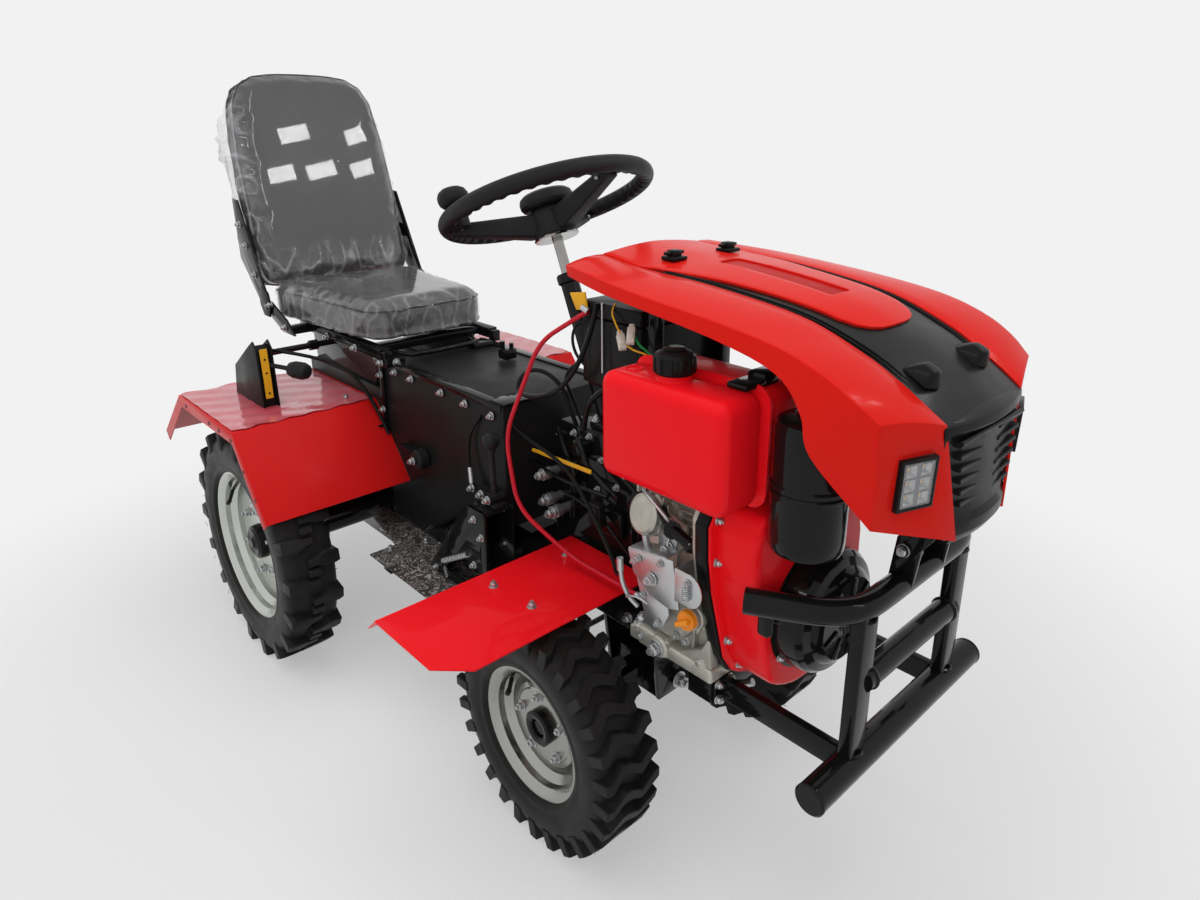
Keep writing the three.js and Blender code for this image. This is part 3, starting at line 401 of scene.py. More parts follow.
def finish(name, colour, rough, metal=0.0, coat=0.0, coat_rough=0.05, tint=None, tint_scale=6.0, tint_share=0.5,
           grain=None, grain_depth=0.1, rough_spread=0.08, spots=None, alpha=None, specular=0.2, coat_ior=1.3):
    """a painted, moulded or cast surface: two close colours mottled together, a roughness that drifts,
    a fine grain in the bump and, where asked, dull marks rubbed into it"""
    material = bpy.data.materials.new(name)
    material.use_nodes = True
    nodes, links = material.node_tree.nodes, material.node_tree.links
    shader = nodes["Principled BSDF"]
    for key, value in (("Metallic", metal), ("Coat Weight", coat), ("Coat Roughness", coat_rough),
                       ("Coat IOR", coat_ior), ("Specular IOR Level", specular)):
        shader.inputs[key].default_value = value
    if alpha is not None:
        shader.inputs["Alpha"].default_value = alpha
    place = nodes.new("ShaderNodeTexCoord")

    def cloud_noise(scale, detail=4.0, roughness=0.55):
        node = node_of(nodes, "TexNoise", {"Scale": scale, "Detail": detail, "Roughness": roughness})
        links.new(place.outputs["Object"], node.inputs["Vector"])
        return node.outputs["Fac"]

    second = tint or tuple(c * TINT_DIP for c in colour)
    cloud = cloud_noise(tint_scale)
    colour_out = mixed(nodes, links, ramp(nodes, links, cloud, 0.35, 0.65, 0.0, tint_share), colour, second)
    if spots:
        spot_colour, spot_scale, spot_level = spots
        marks = cloud_noise(spot_scale, 8.0, 0.7)
        edge = ramp(nodes, links, marks, spot_level, spot_level + 0.12, 0.0, 0.8)
        colour_out = mixed(nodes, links, edge, colour_out, spot_colour)
    links.new(colour_out, shader.inputs["Base Color"])
    drift = cloud_noise(tint_scale * 3.1)
    dull = ramp(nodes, links, drift, 0.3, 0.7, max(0.02, rough - rough_spread), min(1.0, rough + rough_spread))
    links.new(dull, shader.inputs["Roughness"])
    if grain:
        fine = cloud_noise(grain, 6.0, 0.6)
        bump = node_of(nodes, "Bump", {"Strength": grain_depth, "Distance": 0.001})
        links.new(fine, bump.inputs["Height"])
        links.new(bump.outputs["Normal"], shader.inputs["Normal"])
    return material


def parts_of(material):
    """a finish's nodes, links, shader and texture coordinates"""
    nodes = material.node_tree.nodes
    place = next(n for n in nodes if n.type == "TEX_COORD")
    return nodes, material.node_tree.links, nodes["Principled BSDF"], place.outputs["Object"]


def galvanised(name, colour, rough):
    """zinc spangle: flat crystals of slightly different brightness"""
    material = finish(name, colour, rough, metal=0.95, tint_share=0.25, tint_scale=9, grain=300, grain_depth=0.05)
    nodes, links, shader, place = parts_of(material)
    cells = node_of(nodes, "TexVoronoi", {"Scale": 90})
    links.new(place, cells.inputs["Vector"])
    grey = nodes.new("ShaderNodeSeparateColor")
    links.new(cells.outputs["Color"], grey.inputs["Color"])
    level = node_of(nodes, "MapRange", {"To Min": max(0.05, rough - 0.04), "To Max": rough + 0.05})
    links.new(grey.outputs["Red"], level.inputs["Value"])
    links.new(level.outputs["Result"], shader.inputs["Roughness"])
    return material


RED_PAINT = finish("red_paint", (0.84, 0.008, 0.014), 0.32, coat=0.25, coat_rough=0.03, tint=(0.80, 0.007, 0.013),
                   tint_scale=4, tint_share=0.4, grain=240, grain_depth=0.02, rough_spread=0.03, specular=0.05,
                   coat_ior=1.25)
# the rear mudguards' red. The front mudguards carry the same paint but take the brighter RED_PAINT: painted light
# against the bonnet's shade over them
RED_SHEET = finish("red_sheet_paint", (0.60, 0.011, 0.011), 0.30, coat=0.1, coat_rough=0.2,
                   tint=(0.56, 0.010, 0.010), tint_scale=3, tint_share=0.4, grain=240, grain_depth=0.02,
                   rough_spread=0.03, specular=0.06)
RED_MOULD = finish("red_moulding", (0.66, 0.013, 0.008), 0.30, coat=0.2, coat_rough=0.08, tint=(0.62, 0.011, 0.007),
                   tint_scale=5, tint_share=0.4, grain=420, grain_depth=0.03, rough_spread=0.03, specular=0.03,
                   coat_ior=1.2)
# the floor under the tongue's slot: the red moulding painted darker, painted shade in the recess
RED_RECESS_SHADE = finish("red_recess", (0.44, 0.008, 0.007), 0.4, grain=420, grain_depth=0.06, specular=0.05)
BLACK_PAINT = finish("black_paint", (0.005, 0.005, 0.005), 0.30, coat=0.8, coat_rough=0.05, tint=(0.008, 0.008, 0.008),
                     tint_scale=7, grain=330, grain_depth=0.08, spots=((0.016, 0.015, 0.014), 26, 0.68), specular=0.03,
                     coat_ior=1.27)
BLACK_SATIN = finish("black_sheet", (0.008, 0.008, 0.008), 0.40, tint=(0.012, 0.011, 0.011), tint_scale=5,
                     grain=380, grain_depth=0.08, spots=((0.026, 0.024, 0.022), 18, 0.70), specular=0.12)
BLACK_MOULD = finish("black_moulding", (0.006, 0.006, 0.006), 0.34, coat=0.2, coat_rough=0.12,
                     tint=(0.009, 0.009, 0.009), tint_scale=8, grain=900, grain_depth=0.10, specular=0.08,
                     coat_ior=1.22)
BLACK_GRIP = finish("grip_moulding", (0.008, 0.008, 0.009), 0.50, tint=(0.013, 0.013, 0.014), grain=1400,
                    grain_depth=0.3)
TYRE = finish("tyre_rubber", (0.013, 0.0125, 0.012), 0.42, tint=(0.022, 0.021, 0.020), tint_scale=9, tint_share=0.8,
              grain=500, grain_depth=0.22, spots=((0.036, 0.034, 0.031), 14, 0.68), specular=0.10)
ZINC = galvanised("galvanised", (0.54, 0.56, 0.52), 0.22)
# the same galvanising as ZINC made darker for the front rims: painted shade
ZINC_SHADED = galvanised("galvanised_grey", (0.36, 0.365, 0.34), 0.18)
ZINC_BRIGHT = finish("zinc_plate", (0.52, 0.53, 0.535), 0.34, metal=0.9, tint=(0.45, 0.46, 0.47), tint_scale=30,
                     grain=500, grain_depth=0.015, rough_spread=0.03)
CAST = finish("cast_alloy", (0.50, 0.49, 0.43), 0.42, metal=0.6, tint=(0.36, 0.35, 0.305), tint_scale=24,
              tint_share=0.85, grain=260, grain_depth=0.5, spots=((0.15, 0.14, 0.115), 38, 0.64))
CHROME = finish("chrome", (0.34, 0.33, 0.32), 0.14, metal=1.0, tint=(0.24, 0.23, 0.22), tint_scale=30,
                rough_spread=0.03)
VINYL = finish("seat_vinyl", (0.046, 0.042, 0.043), 0.42, coat=1.0, coat_rough=0.02, tint=(0.056, 0.052, 0.053),
               tint_scale=5, grain=650, grain_depth=0.10, coat_ior=1.45)
PIPING = finish("seat_piping", (0.012, 0.011, 0.011), 0.4, coat=0.4, tint=(0.018, 0.017, 0.017), grain=800)


def crumpled_film():
    """clear dust film: hardly there where it lies flat, whiter along its creases, partly its own haze and partly a
    painted highlight for the gloss on the folds
    """
    material = finish("clear_film", (0.80, 0.81, 0.83), 0.08, tint=(0.70, 0.71, 0.73), tint_scale=20, specular=1.0,
                      grain=60, grain_depth=0.3)
    nodes, links, shader, _ = parts_of(material)
    crease = node_of(nodes, "Attribute", attribute_name="crease")
    haze_and_highlight = node_of(nodes, "MapRange", {"To Min": 0.015, "To Max": 0.30})
    links.new(crease.outputs["Fac"], haze_and_highlight.inputs["Value"])
    links.new(haze_and_highlight.outputs["Result"], shader.inputs["Alpha"])
    return material


def worm_tread(name, floor, ridge):
    """ribbed mat: winding ridges painted pale over a darker floor, a painted highlight standing in for light caught by
    ribs that the flat plate does not have
    """
    material = finish(name, floor, 0.45, tint=tuple(c * 1.6 for c in floor), tint_scale=14, tint_share=0.7, grain=300)
    nodes, links, shader, place = parts_of(material)
    winding = node_of(nodes, "TexNoise", {"Scale": 30, "Detail": 1.0, "Distortion": 2.2})
    links.new(place, winding.inputs["Vector"])
    fold = node_of(nodes, "Math", {1: 0.11}, operation="PINGPONG")
    links.new(winding.outputs["Fac"], fold.inputs[0])
    crest = node_of(nodes, "MapRange", {"From Min": 0.066, "From Max": 0.106})
    links.new(fold.outputs["Value"], crest.inputs["Value"])
    base = shader.inputs["Base Color"]
    links.new(mixed(nodes, links, crest.outputs["Result"], base.links[0].from_socket, ridge), base)
    return material


FILM = crumpled_film()
# the second colour is the ridges' painted highlight
MAT_TOP = worm_tread("mat_rubber", (0.030, 0.027, 0.026), (0.36, 0.335, 0.32))
RUBBER = finish("black_rubber", (0.008, 0.008, 0.008), 0.55, tint=(0.014, 0.014, 0.014), grain=700, grain_depth=0.3)
YELLOW = finish("yellow_paint", (0.80, 0.42, 0.02), 0.4, tint=(0.68, 0.34, 0.02), tint_scale=20, grain=400)
ORANGE = finish("oil_cap_moulding", (0.85, 0.28, 0.015), 0.35, tint=(0.75, 0.23, 0.015), grain=500, coat=0.2)
CREAM = finish("connector_moulding", (0.72, 0.69, 0.60), 0.45, tint=(0.60, 0.57, 0.48), tint_scale=40, grain=600)
CABLE_RED = finish("red_sleeve", (0.52, 0.008, 0.022), 0.35, coat=0.2, tint=(0.44, 0.008, 0.018), grain=900)
LENS = finish("lamp_lens", (0.85, 0.87, 0.90), 0.05, alpha=0.18, tint=(0.8, 0.82, 0.85), grain=200, specular=0.8)
GREEN = finish("green_wire", (0.02, 0.25, 0.06), 0.4, tint=(0.02, 0.2, 0.05), grain=600)
BLUSH_FILM = finish("fender_film", (0.56, 0.07, 0.09), 0.14, coat=0.8, coat_rough=0.05, tint=(0.60, 0.16, 0.19),
                    tint_scale=13, tint_share=0.75, grain=30, grain_depth=0.8, spots=((0.80, 0.56, 0.60), 9, 0.62))


# ---------------------------------------------------------------- wheels
class Wheel:
    def __init__(self, radius, half, flange, centre_y, hub_z, axle_x):
        self.radius, self.half, self.flange = radius, half, flange
        self.centre_y, self.hub_z, self.axle_x = centre_y, hub_z, axle_x


FRONT = Wheel(205, 56, 115, 238, 205, 853)
REAR = Wheel(265, 57, 168, 374, 265, 0)
HAIRS = 70
# the outer strip of the tread that rounds over to the sidewall
SHOULDER_STRIP = 9


def tread_bar(wheel, outline, depth, shoulder):
    """one rubber lug wrapped on the tyre; outline points are (along the tread, across the tread)"""
    hub = at(wheel.axle_x, 0, wheel.hub_z)

    def wrapped(u, v, r):
        angle = u / wheel.radius
        return hub + Vector((math.sin(angle) * r, v, math.cos(angle) * r)) * MM

    def foot(v):
        edge = abs(v) > wheel.half - SHOULDER_STRIP
        return wheel.radius - (shoulder if edge else depth + 5)

    crown = [wrapped(u * 0.86, v * 0.985, wheel.radius - (2.5 if abs(v) > wheel.half - SHOULDER_STRIP else 0)) for u,
             v in outline]
    root = [wrapped(u * 1.12, v, foot(v)) for u, v in outline]
    count = len(outline)
    sides = [(i, (i + 1) % count, count + (i + 1) % count, count + i) for i in range(count)]
    bar = shell("lug", crown + root, [tuple(range(count))[::-1], tuple(range(count, 2 * count))] + sides)
    outward(bar, 0.001)
    return soften(bar, 1.3, 1, 40)


def strip_outline(line, width):
    """a zigzag line given an even width along the tread"""
    return [(u + width / 2, v) for u, v in line] + [(u - width / 2, v) for u, v in reversed(line)]


def tyre(name, wheel, side, bars, count, body):
    centre = (wheel.axle_x, side * wheel.centre_y, wheel.hub_z)
    r, h, f = wheel.radius, wheel.half, wheel.flange
    wall = [(f - 10.4, 36), (f + 1, 40), (f + 3, 46), (f + 8, h - 5), (f + 14, h - 3.5), (f + 18, h - 4.4),
            (f + 24, h - 2), ((r + f) / 2, h - 0.5), (r - 34, h - 2), (r - 30, h - 3.4), (r - 24, h - 6),
            (r - 18, h - 14), (r - 16, h - 30), (r - 15, 0)]
    profile = wall + [(a, -b) for a, b in reversed(wall[:-1])] + [wall[0]]
    carcass = turned(name, profile, centre, (0, side, 0), 72, 40)
    lugs = []
    shift = Matrix.Translation(Vector((0, side * wheel.centre_y * MM, 0)))
    for outline, depth, shoulder, offset in bars:
        bar = copied(tread_bar(wheel, outline, depth, shoulder), shift)
        lugs.append(round_about("lugs", bar, centre, LEFT, count, offset))
    for spare in [o for o in bpy.data.objects if o.name.startswith("lug") and o not in lugs]:
        bpy.data.objects.remove(spare)
    hairs = []
    dice = random.Random(name)
    for _ in range(HAIRS):
        turn, across = dice.uniform(0, 2 * math.pi), dice.choice((-1, 1)) * dice.uniform(h - 26, h - 3)
        low = r - dice.uniform(0, 26)
        y = side * wheel.centre_y + across
        lean = dice.uniform(-0.05, 0.05)
        length = dice.uniform(4, 9)
        start = (wheel.axle_x + low * math.sin(turn), y, wheel.hub_z + low * math.cos(turn))
        reach = low + length
        end = (wheel.axle_x + reach * math.sin(turn + lean), y + math.copysign(dice.uniform(1, 5), across),
               wheel.hub_z + reach * math.cos(turn + lean))
        if end[2] > 2:
            hairs.append(rod("hair", start, end, 0.55, 5, 0.3))
    whole = join(f"{name}_lugged", [carcass, *lugs, *hairs])
    return dress(whole, TYRE, name, body=body)


def rim(name, wheel, side, bolts, bolt_ring, body):
    centre = (wheel.axle_x, side * wheel.centre_y, wheel.hub_z)
    f = wheel.flange
    barrel = [(f + 2, 46), (f + 3.6, 44), (f + 2, 41.5), (f - 9, 39), (f - 12, 34), (f - 13, 22), (f - 24, 12),
              (f - 25, -14), (f - 13, -26), (f - 12, -37), (f - 1, -41), (f + 3, -44), (f + 1, -47), (f - 4, -45),
              (f - 15, -41), (f - 17, -28), (f - 28, -16), (f - 27.5, 12), (f - 16.5, 24), (f - 15, 35),
              (f - 8, 43.5), (f - 1, 46.5), (f + 2, 46)]
    band = turned("barrel", barrel, centre, (0, side, 0), 72, 30)
    deep = 0 if wheel is FRONT else -6
    edge = f - 27
    dish = [(edge, 2 + deep), (edge - 8, 6 + deep), (edge - 13, 13 + deep), (edge - 22, 15.5 + deep),
            (bolt_ring + 12, 15.5 + deep), (bolt_ring + 9, 17.5 + deep), (24, 17.5 + deep), (24, 12 + deep),
            (edge - 20, 11 + deep), (edge - 9, 3 + deep), (edge, -3 + deep), (edge, 2 + deep)]
    disc = turned("disc", dish, centre, (0, side, 0), 72, 30)
    metal = join(f"{name}_pressed", [band, disc])
    # the front rims take the darker copy of the galvanising: painted shade
    dress(metal, ZINC_SHADED if wheel is FRONT else ZINC, name, body=body)
    face = 17.5 + deep
    places = []
    for i in range(bolts):
        turn = 2 * math.pi * (i + 0.35) / bolts
        places.append(((centre[0] + bolt_ring * math.cos(turn), centre[1] + side * face,
                        centre[2] + bolt_ring * math.sin(turn)), (0, side, 0)))
    screws(f"{name}_nuts", places, 7 if wheel is FRONT else 8.5, body)
    if wheel is FRONT:
        hub_line = [(16, 12), (16, 27), (19, 30), (26, 31), (31, 28), (31, 14), (35, 12), (35, -38), (16, -38),
                    (16, 12)]
        pin = [(0, 8), (9, 8), (12, 5), (12, -10), (0, -10)]
    else:
        hub_line = [(20, 6), (20, 30), (30, 32), (38, 27), (40, 10), (44, 6), (44, -40), (20, -40), (20, 6)]
        pin = [(0, 36), (10, 36), (14, 32), (20, 30), (20, -10), (0, -10)]
    hub = join(f"{name}_hub", [turned("hub", hub_line, centre, (0, side, 0), 40, 30),
                               turned("pin", pin, centre, (0, side, 0), 24, 30)])
    dress(hub, BLACK_PAINT, body=body)
    y = centre[1] + side * 22
    stem = f - 21
    valve = join(f"{name}_valve", [
        rod("stem", (centre[0] - stem * 0.8, y, centre[2] + stem * 0.6),
            (centre[0] - stem * 0.66, y + side * 16, centre[2] + stem * 0.5), 4, 12),
        rod("cap", (centre[0] - stem * 0.66, y + side * 16, centre[2] + stem * 0.5),
            (centre[0] - stem * 0.62, y + side * 23, centre[2] + stem * 0.47), 5, 12, 4.4)])
    dress(valve, RUBBER, body=body)


def wheels():
    zigzag = strip_outline([(12, -56), (12, -44), (-9, -20), (-6, -6), (9, 16), (-10, 42), (-11, 56)], 21)
    shoulder_block = [(-13, 57), (15, 57), (17, 46), (15, 26), (9, 10), (9, -9), (-8, -9), (-9, 8), (-20, 28),
                      (-17, 46)]
    far_block = [(-u, -v) for u, v in shoulder_block]
    centre_block = [(-8, -12), (8, -12), (9, 2), (8, 14), (-8, 14), (-9, 2)]
    step = 2 * math.pi / 18
    for word, side in SIDES:
        body = f"front_{word}_wheel"
        tyre(f"front_{word}_tyre", FRONT, side, [(zigzag, 16, 38, 0)], 27, body)
        rim(f"front_{word}_rim", FRONT, side, 5, 55, body)
        body = f"rear_{word}_wheel"
        tyre(f"rear_{word}_tyre", REAR, side, [(shoulder_block, 16, 42, 0), (far_block, 16, 42, step / 2),
                                               (centre_block, 16, 18, step / 4)], 18, body)
        rim(f"rear_{word}_rim", REAR, side, 6, 78, body)


# ---------------------------------------------------------------- bonnet
STATIONS = (
    ((845, 104, 977), (843, 177, 968), (852, 181, 954)),
    ((955, 116, 968), (940, 198, 962), (942, 201, 945)),
    ((1062, 113, 961), (1040, 209, 953), (1044, 212, 936)),
    ((1202, 108, 942), (1160, 210, 941), (1165, 214, 920)),
    ((1290, 106, 912), (1242, 209, 928), (1246, 213, 898)),
    ((1335, 104, 889), (1300, 208, 909), (1281, 213, 860)),
    ((1366, 103, 870), (1338, 205, 888), (1297, 212, 814)),
    ((1396, 101, 850), (1367, 196, 866), (1362, 184, 738)),
)
CORNER = Vector((1409, 66, 700))


def flow(points, per_span):
    """a smooth line through the points"""
    line = [Vector(p) for p in points]
    line = [2 * line[0] - line[1], *line, 2 * line[-1] - line[-2]]
    out = []
    for a, b, c, d in zip(line, line[1:], line[2:], line[3:]):
        for i in range(per_span):
            t = i / per_span
            out.append(0.5 * ((2 * b) + (c - a) * t + (2 * a - 5 * b + 4 * c - d) * t * t
                              + (3 * b - a - 3 * c + d) * t * t * t))
    return out + [line[-2]]


BAND_LINE = flow([s[0] for s in STATIONS], 6)
CREASE_LINE = flow([s[1] for s in STATIONS], 6)
LOWER_LINE = flow([s[2] for s in STATIONS], 6)


def grid(name, rows):
    """a surface through rows of points, all as long"""
    wide = len(rows[0])
    points = [at(*p) for row in rows for p in row]
    faces = [(i * wide + j, i * wide + j + 1, (i + 1) * wide + j + 1, (i + 1) * wide + j)
             for i in range(len(rows) - 1) for j in range(wide - 1)]
    return shell(name, points, faces)


def skin_over(name, rows, wall, offset=-1):
    """a thin skin through rows of points, its top turned up and then given its wall"""
    skin = outward(grid(name, rows))
    if skin.data.polygons[0].normal.z < 0:
        skin.data.flip_normals()
    return fit(skin, "SOLIDIFY", thickness=wall * MM, offset=offset)


TOP_STEPS = (0.0, 0.25, 0.5, 0.75, 0.94, 1.0)
SIDE_STEPS = (0.0, 0.12, 0.4, 0.7, 1.0)


def wing(word, side):
    rows = []
    for band, crease, lower in zip(BAND_LINE, CREASE_LINE, LOWER_LINE):
        row = []
        for t in TOP_STEPS:
            swell = 3.5 * math.sin(math.pi * t)
            row.append(band.lerp(crease, t) + Vector((0, 0, swell)))
        for t in SIDE_STEPS[1:]:
            row.append(crease.lerp(lower, t))
        rows.append(row)
    band, crease, lower = BAND_LINE[-1], CREASE_LINE[-1], LOWER_LINE[-1]
    facet = []
    for t in SIDE_STEPS:
        row = []
        for s in TOP_STEPS:
            point = band.lerp(CORNER, t).lerp(crease.lerp(lower, t), s)
            row.append(point + Vector((0, 0, 3.5 * math.sin(math.pi * s) * (1 - t))))
        facet.append(row)
    flip = Vector((1, side, 1))
    top = grid("wing", [[p * flip for p in row] for row in rows])
    front = grid("facet", [[p * flip for p in row] for row in facet])
    skin = join(f"{word}_wing_moulding", [top, front])
    outward(skin, 0.2)
    take(skin)
    if skin.data.polygons[0].normal.z < 0:
        skin.data.flip_normals()
    fit(skin, "SOLIDIFY", thickness=3.4 * MM, offset=-1, use_even_offset=True)
    frame_at = lamp_frame(side)
    calm()
    bpy.ops.mesh.primitive_cube_add(size=1, location=(0, 0, 0), scale=(0.053, 0.063, 0.06))
    opening = named("opening")
    opening.data.transform(frame_at)
    cut(skin, opening)
    outward(skin, 0.01)
    soften(skin, 1.6, 2, 32)
    dress(skin, RED_MOULD, f"{word}_bonnet_wing", body="bonnet")


def lamp_frame(side):
    flip = Vector((1, side, 1))
    a, b, c, d = [p * flip for p in (CREASE_LINE[-1], BAND_LINE[-1], CORNER, LOWER_LINE[-1])]
    middle = (a + b + c + d) / 4
    out = (b - d).cross(c - a).normalized()
    if out.x < 0:
        out.negate()
    across = Vector(UP).cross(out).normalized()
    up = out.cross(across)
    turn = Matrix((across, up, out)).transposed().to_4x4()
    return Matrix.Translation(at(*middle)) @ turn


def lamp(word, side):
    place = lamp_frame(side)

    def box(name, size, middle):
        calm()
        bpy.ops.mesh.primitive_cube_add(size=1, location=Vector(middle) * MM, scale=Vector(size) * MM)
        return named(name)

    bezel = box("bezel", (52, 62, 12), (0, 0, 0))
    with editing(bezel, "DESELECT"):
        pick(bezel, "faces", lambda face: face.normal.z > FACING)
        bpy.ops.mesh.inset(thickness=4.5 * MM, depth=0)
        bpy.ops.mesh.extrude_region_move(TRANSFORM_OT_translate={"value": (0, 0, -9 * MM)})
    soften(bezel, 1.2, 2)
    bezel.data.transform(place)
    bezel.name = f"{word}_lamp_bezel"
    dress(bezel, BLACK_MOULD, body="bonnet")
    cups, chips = [], []
    for i in (-1, 1):
        for j in (-1, 0, 1):
            x, y = i * 10.4, j * 17.2
            calm()
            bpy.ops.mesh.primitive_cone_add(vertices=4, end_fill_type="NOTHING", radius1=3 * MM, radius2=10 * MM,
                                            depth=7 * MM, location=(x * MM, y * MM, 1.0 * MM),
                                            rotation=(0, 0, math.radians(45)))
            cups.append(fit(named("cup"), "SOLIDIFY", thickness=0.6 * MM))
            chips.append(soften(box("chip", (4.4, 4.4, 1.6), (x, y, -1.8)), 0.3, 1))
    reflector = join(f"{word}_lamp_reflector", cups)
    reflector.data.transform(place)
    dress(reflector, CHROME, body="bonnet")
    chip = join(f"{word}_lamp_chips", chips)
    chip.data.transform(place)
    dress(chip, YELLOW, body="bonnet", slot="lamp_lens")
    glass = soften(box(f"{word}_lamp_glass", (43.6, 53.6, 1.6), (0, 0, 4.6)), 0.5, 2)
    glass.data.transform(place)
    dress(glass, LENS, f"{word}_headlight", body="bonnet")


def crown_point(x, share, lift=0.0):
    """a point on the bonnet's middle band: share runs from -1 at the right edge to 1 at the left"""
    xs = [p.x for p in BAND_LINE]
    half = np.interp(x, xs, [p.y for p in BAND_LINE])
    z = np.interp(x, xs, [p.z for p in BAND_LINE])
    return Vector((x, share * half, z + 9 * (1 - abs(share) ** 1.6) + lift))


TONGUE = ((846, 1.0), (930, 1.0), (944, 0.99), (958, 0.93), (1030, 0.85), (1080, 0.78), (1130, 0.75), (1190, 0.73),
          (1235, 0.69), (1255, 0.60), (1266, 0.48), (1273, 0.33), (1276, 0.12))


def bonnet_middle():
    shares = [-1 + i / 8 for i in range(17)]
    rows = [[crown_point(x, s, -2.5) for s in shares] for x in np.linspace(940, 1396, 38)]
    skin = smoothed(skin_over("bonnet_band", rows, 3), 30)
    dress(skin, BLACK_MOULD, "bonnet_centre", body="bonnet")

    xs, halves = [t[0] for t in TONGUE], [t[1] for t in TONGUE]
    line = sorted(set(list(np.linspace(846, 1276, 70)) + xs))
    rows = []
    for x in line:
        half = np.interp(x, xs, halves)
        rows.append([crown_point(x, s * half, 1.2) for s in shares])
    tongue = skin_over("bonnet_tongue", rows, 3.6)
    slot = slab("slot", (1002, -23, 900), (1192, 23, 1010))
    soften(slot, 6, 3, smooth=False)
    cut(tongue, slot)
    soften(outward(tongue, 0.01), 1.3, 2, 40)
    dress(tongue, RED_MOULD, body="bonnet")
    # the slot's floor takes the darker red: painted shade in the recess
    floor_rows = [[crown_point(x, s * 0.24, -1.6) for s in shares[::2]] for x in np.linspace(998, 1196, 16)]
    recess = skin_over("bonnet_recess", floor_rows, 1.2)
    dress(recess, RED_RECESS_SHADE, body="bonnet")
    ribs = []
    for side in (-1, 1):
        for start, share in ((962, 0.90), (975, 0.965)):
            line = [crown_point(x, side * (share - 0.05 * min(1, max(0, (x - 1150) / 150))),
                                -1.4 - 2.4 * max(0, (x - 1320) / 30)) for x in np.linspace(start, 1350, 16)]
            ribs.append(pipe("rib", line, 1.5, 8, 4))
    dress(join("bonnet_ribs", ribs), BLACK_MOULD, body="bonnet")


def nose():
    shares = [-1 + i / 8 for i in range(17)]

    def across(half, x, z, bow):
        return [Vector((x + bow * (1 - s * s), s * half, z)) for s in shares]

    top = [crown_point(1396, s, -2.5) for s in shares]
    rows = [top, across(105, 1396, 846, 15), across(105, 1397, 838, 17), across(103, 1396, 830, 11),
            across(97, 1396, 790, 11), across(88, 1398, 750, 10), across(79, 1400, 728, 10), across(77, 1403, 720, 13),
            across(74, 1405, 706, 11), across(70, 1400, 694, 9), across(68, 1390, 690, 6)]
    face = grid("nose_panel", rows)
    outward(face)
    if sum(p.normal.x for p in face.data.polygons) < 0:
        face.data.flip_normals()
    fit(face, "SOLIDIFY", thickness=3 * MM, offset=-1)
    soften(face, 1.0, 2, 30)
    dress(face, BLACK_MOULD, body="bonnet")
    gills = []
    for side in (-1, 1):
        for i in range(6):
            z = 818 - 15.5 * i
            outer = 84 - 3.6 * i
            blade = plate("gill", [(side * 20, z), (side * outer, z + 2), (side * outer, z + 8), (side * 22, z + 5)],
                          "x", (1398, 1408))
            gills.append(soften(blade, 1.0, 1))
    dress(join("nose_gills", gills), BLACK_SATIN, body="bonnet", slot="black_plastic")
    frame_line = [(1407, -84, 826), (1408, 0, 828), (1407, 84, 826)]
    ridge = pipe("nose_ridge", frame_line, 3.2, 10)
    dress(ridge, BLACK_MOULD, body="bonnet")
    knobs = []
    for side in (-1, 1):
        spot = crown_point(1343, side * 0.62, -5)
        base = plate("boss", [(-22, -17), (16, -20), (25, 0), (16, 20), (-22, 17), (-27, 0)], "z", (0, 20))
        take(base)
        for vertex in base.data.vertices:
            offset = (vertex.co - at(0, 0, 0)) / MM
            if offset.z > 10:
                vertex.co = at(offset.x * 0.42 + 5, offset.y * 0.5, offset.z)
        base.data.transform(Matrix.Translation(at(*spot)) @ Matrix.Rotation(math.radians(27), 4, "Y")
                            @ Matrix.Translation(-at(0, 0, 0)))
        knobs.append(soften(base, 4, 4))
    dress(join("nose_bosses", knobs), BLACK_MOULD, body="bonnet")
    screws("nose_boss_screws", [(crown_point(1357, side * 0.62, 7.5), (0.45, 0, 0.89)) for side in (-1, 1)], 3.6,
           "bonnet")
    latches = []
    for side in (-1, 1):
        x, y, z = crown_point(950, side * 0.53, 1.4)
        latches.append(block("latch", (x - 12, y - 15, z), (x + 14, y + 15, z + 6), 2, 2))
        latches.append(block("latch", (x - 8, y - 9, z + 5), (x + 9, y + 9, z + 15), 3, 2))
        latches.append(block("latch", (x - 4, y - 19, z + 8), (x + 4, y + 19, z + 13), 2, 2))
    dress(join("bonnet_latches", latches), BLACK_MOULD, body="bonnet")


def bonnet():
    for word, side in SIDES:
        wing(word, side)
        lamp(word, side)
    bonnet_middle()
    nose()


# ---------------------------------------------------------------- engine and what it carries
TANK_X, TANK_Y, TANK_Z, TANK_SEAM = (990, 1205), (-250, -86), (708, 857), -168
CAP_PLACE = (1088, -206)
SHROUD_X = (1141, 1214)
CRANK_Y, CRANK_Z = -45, 520


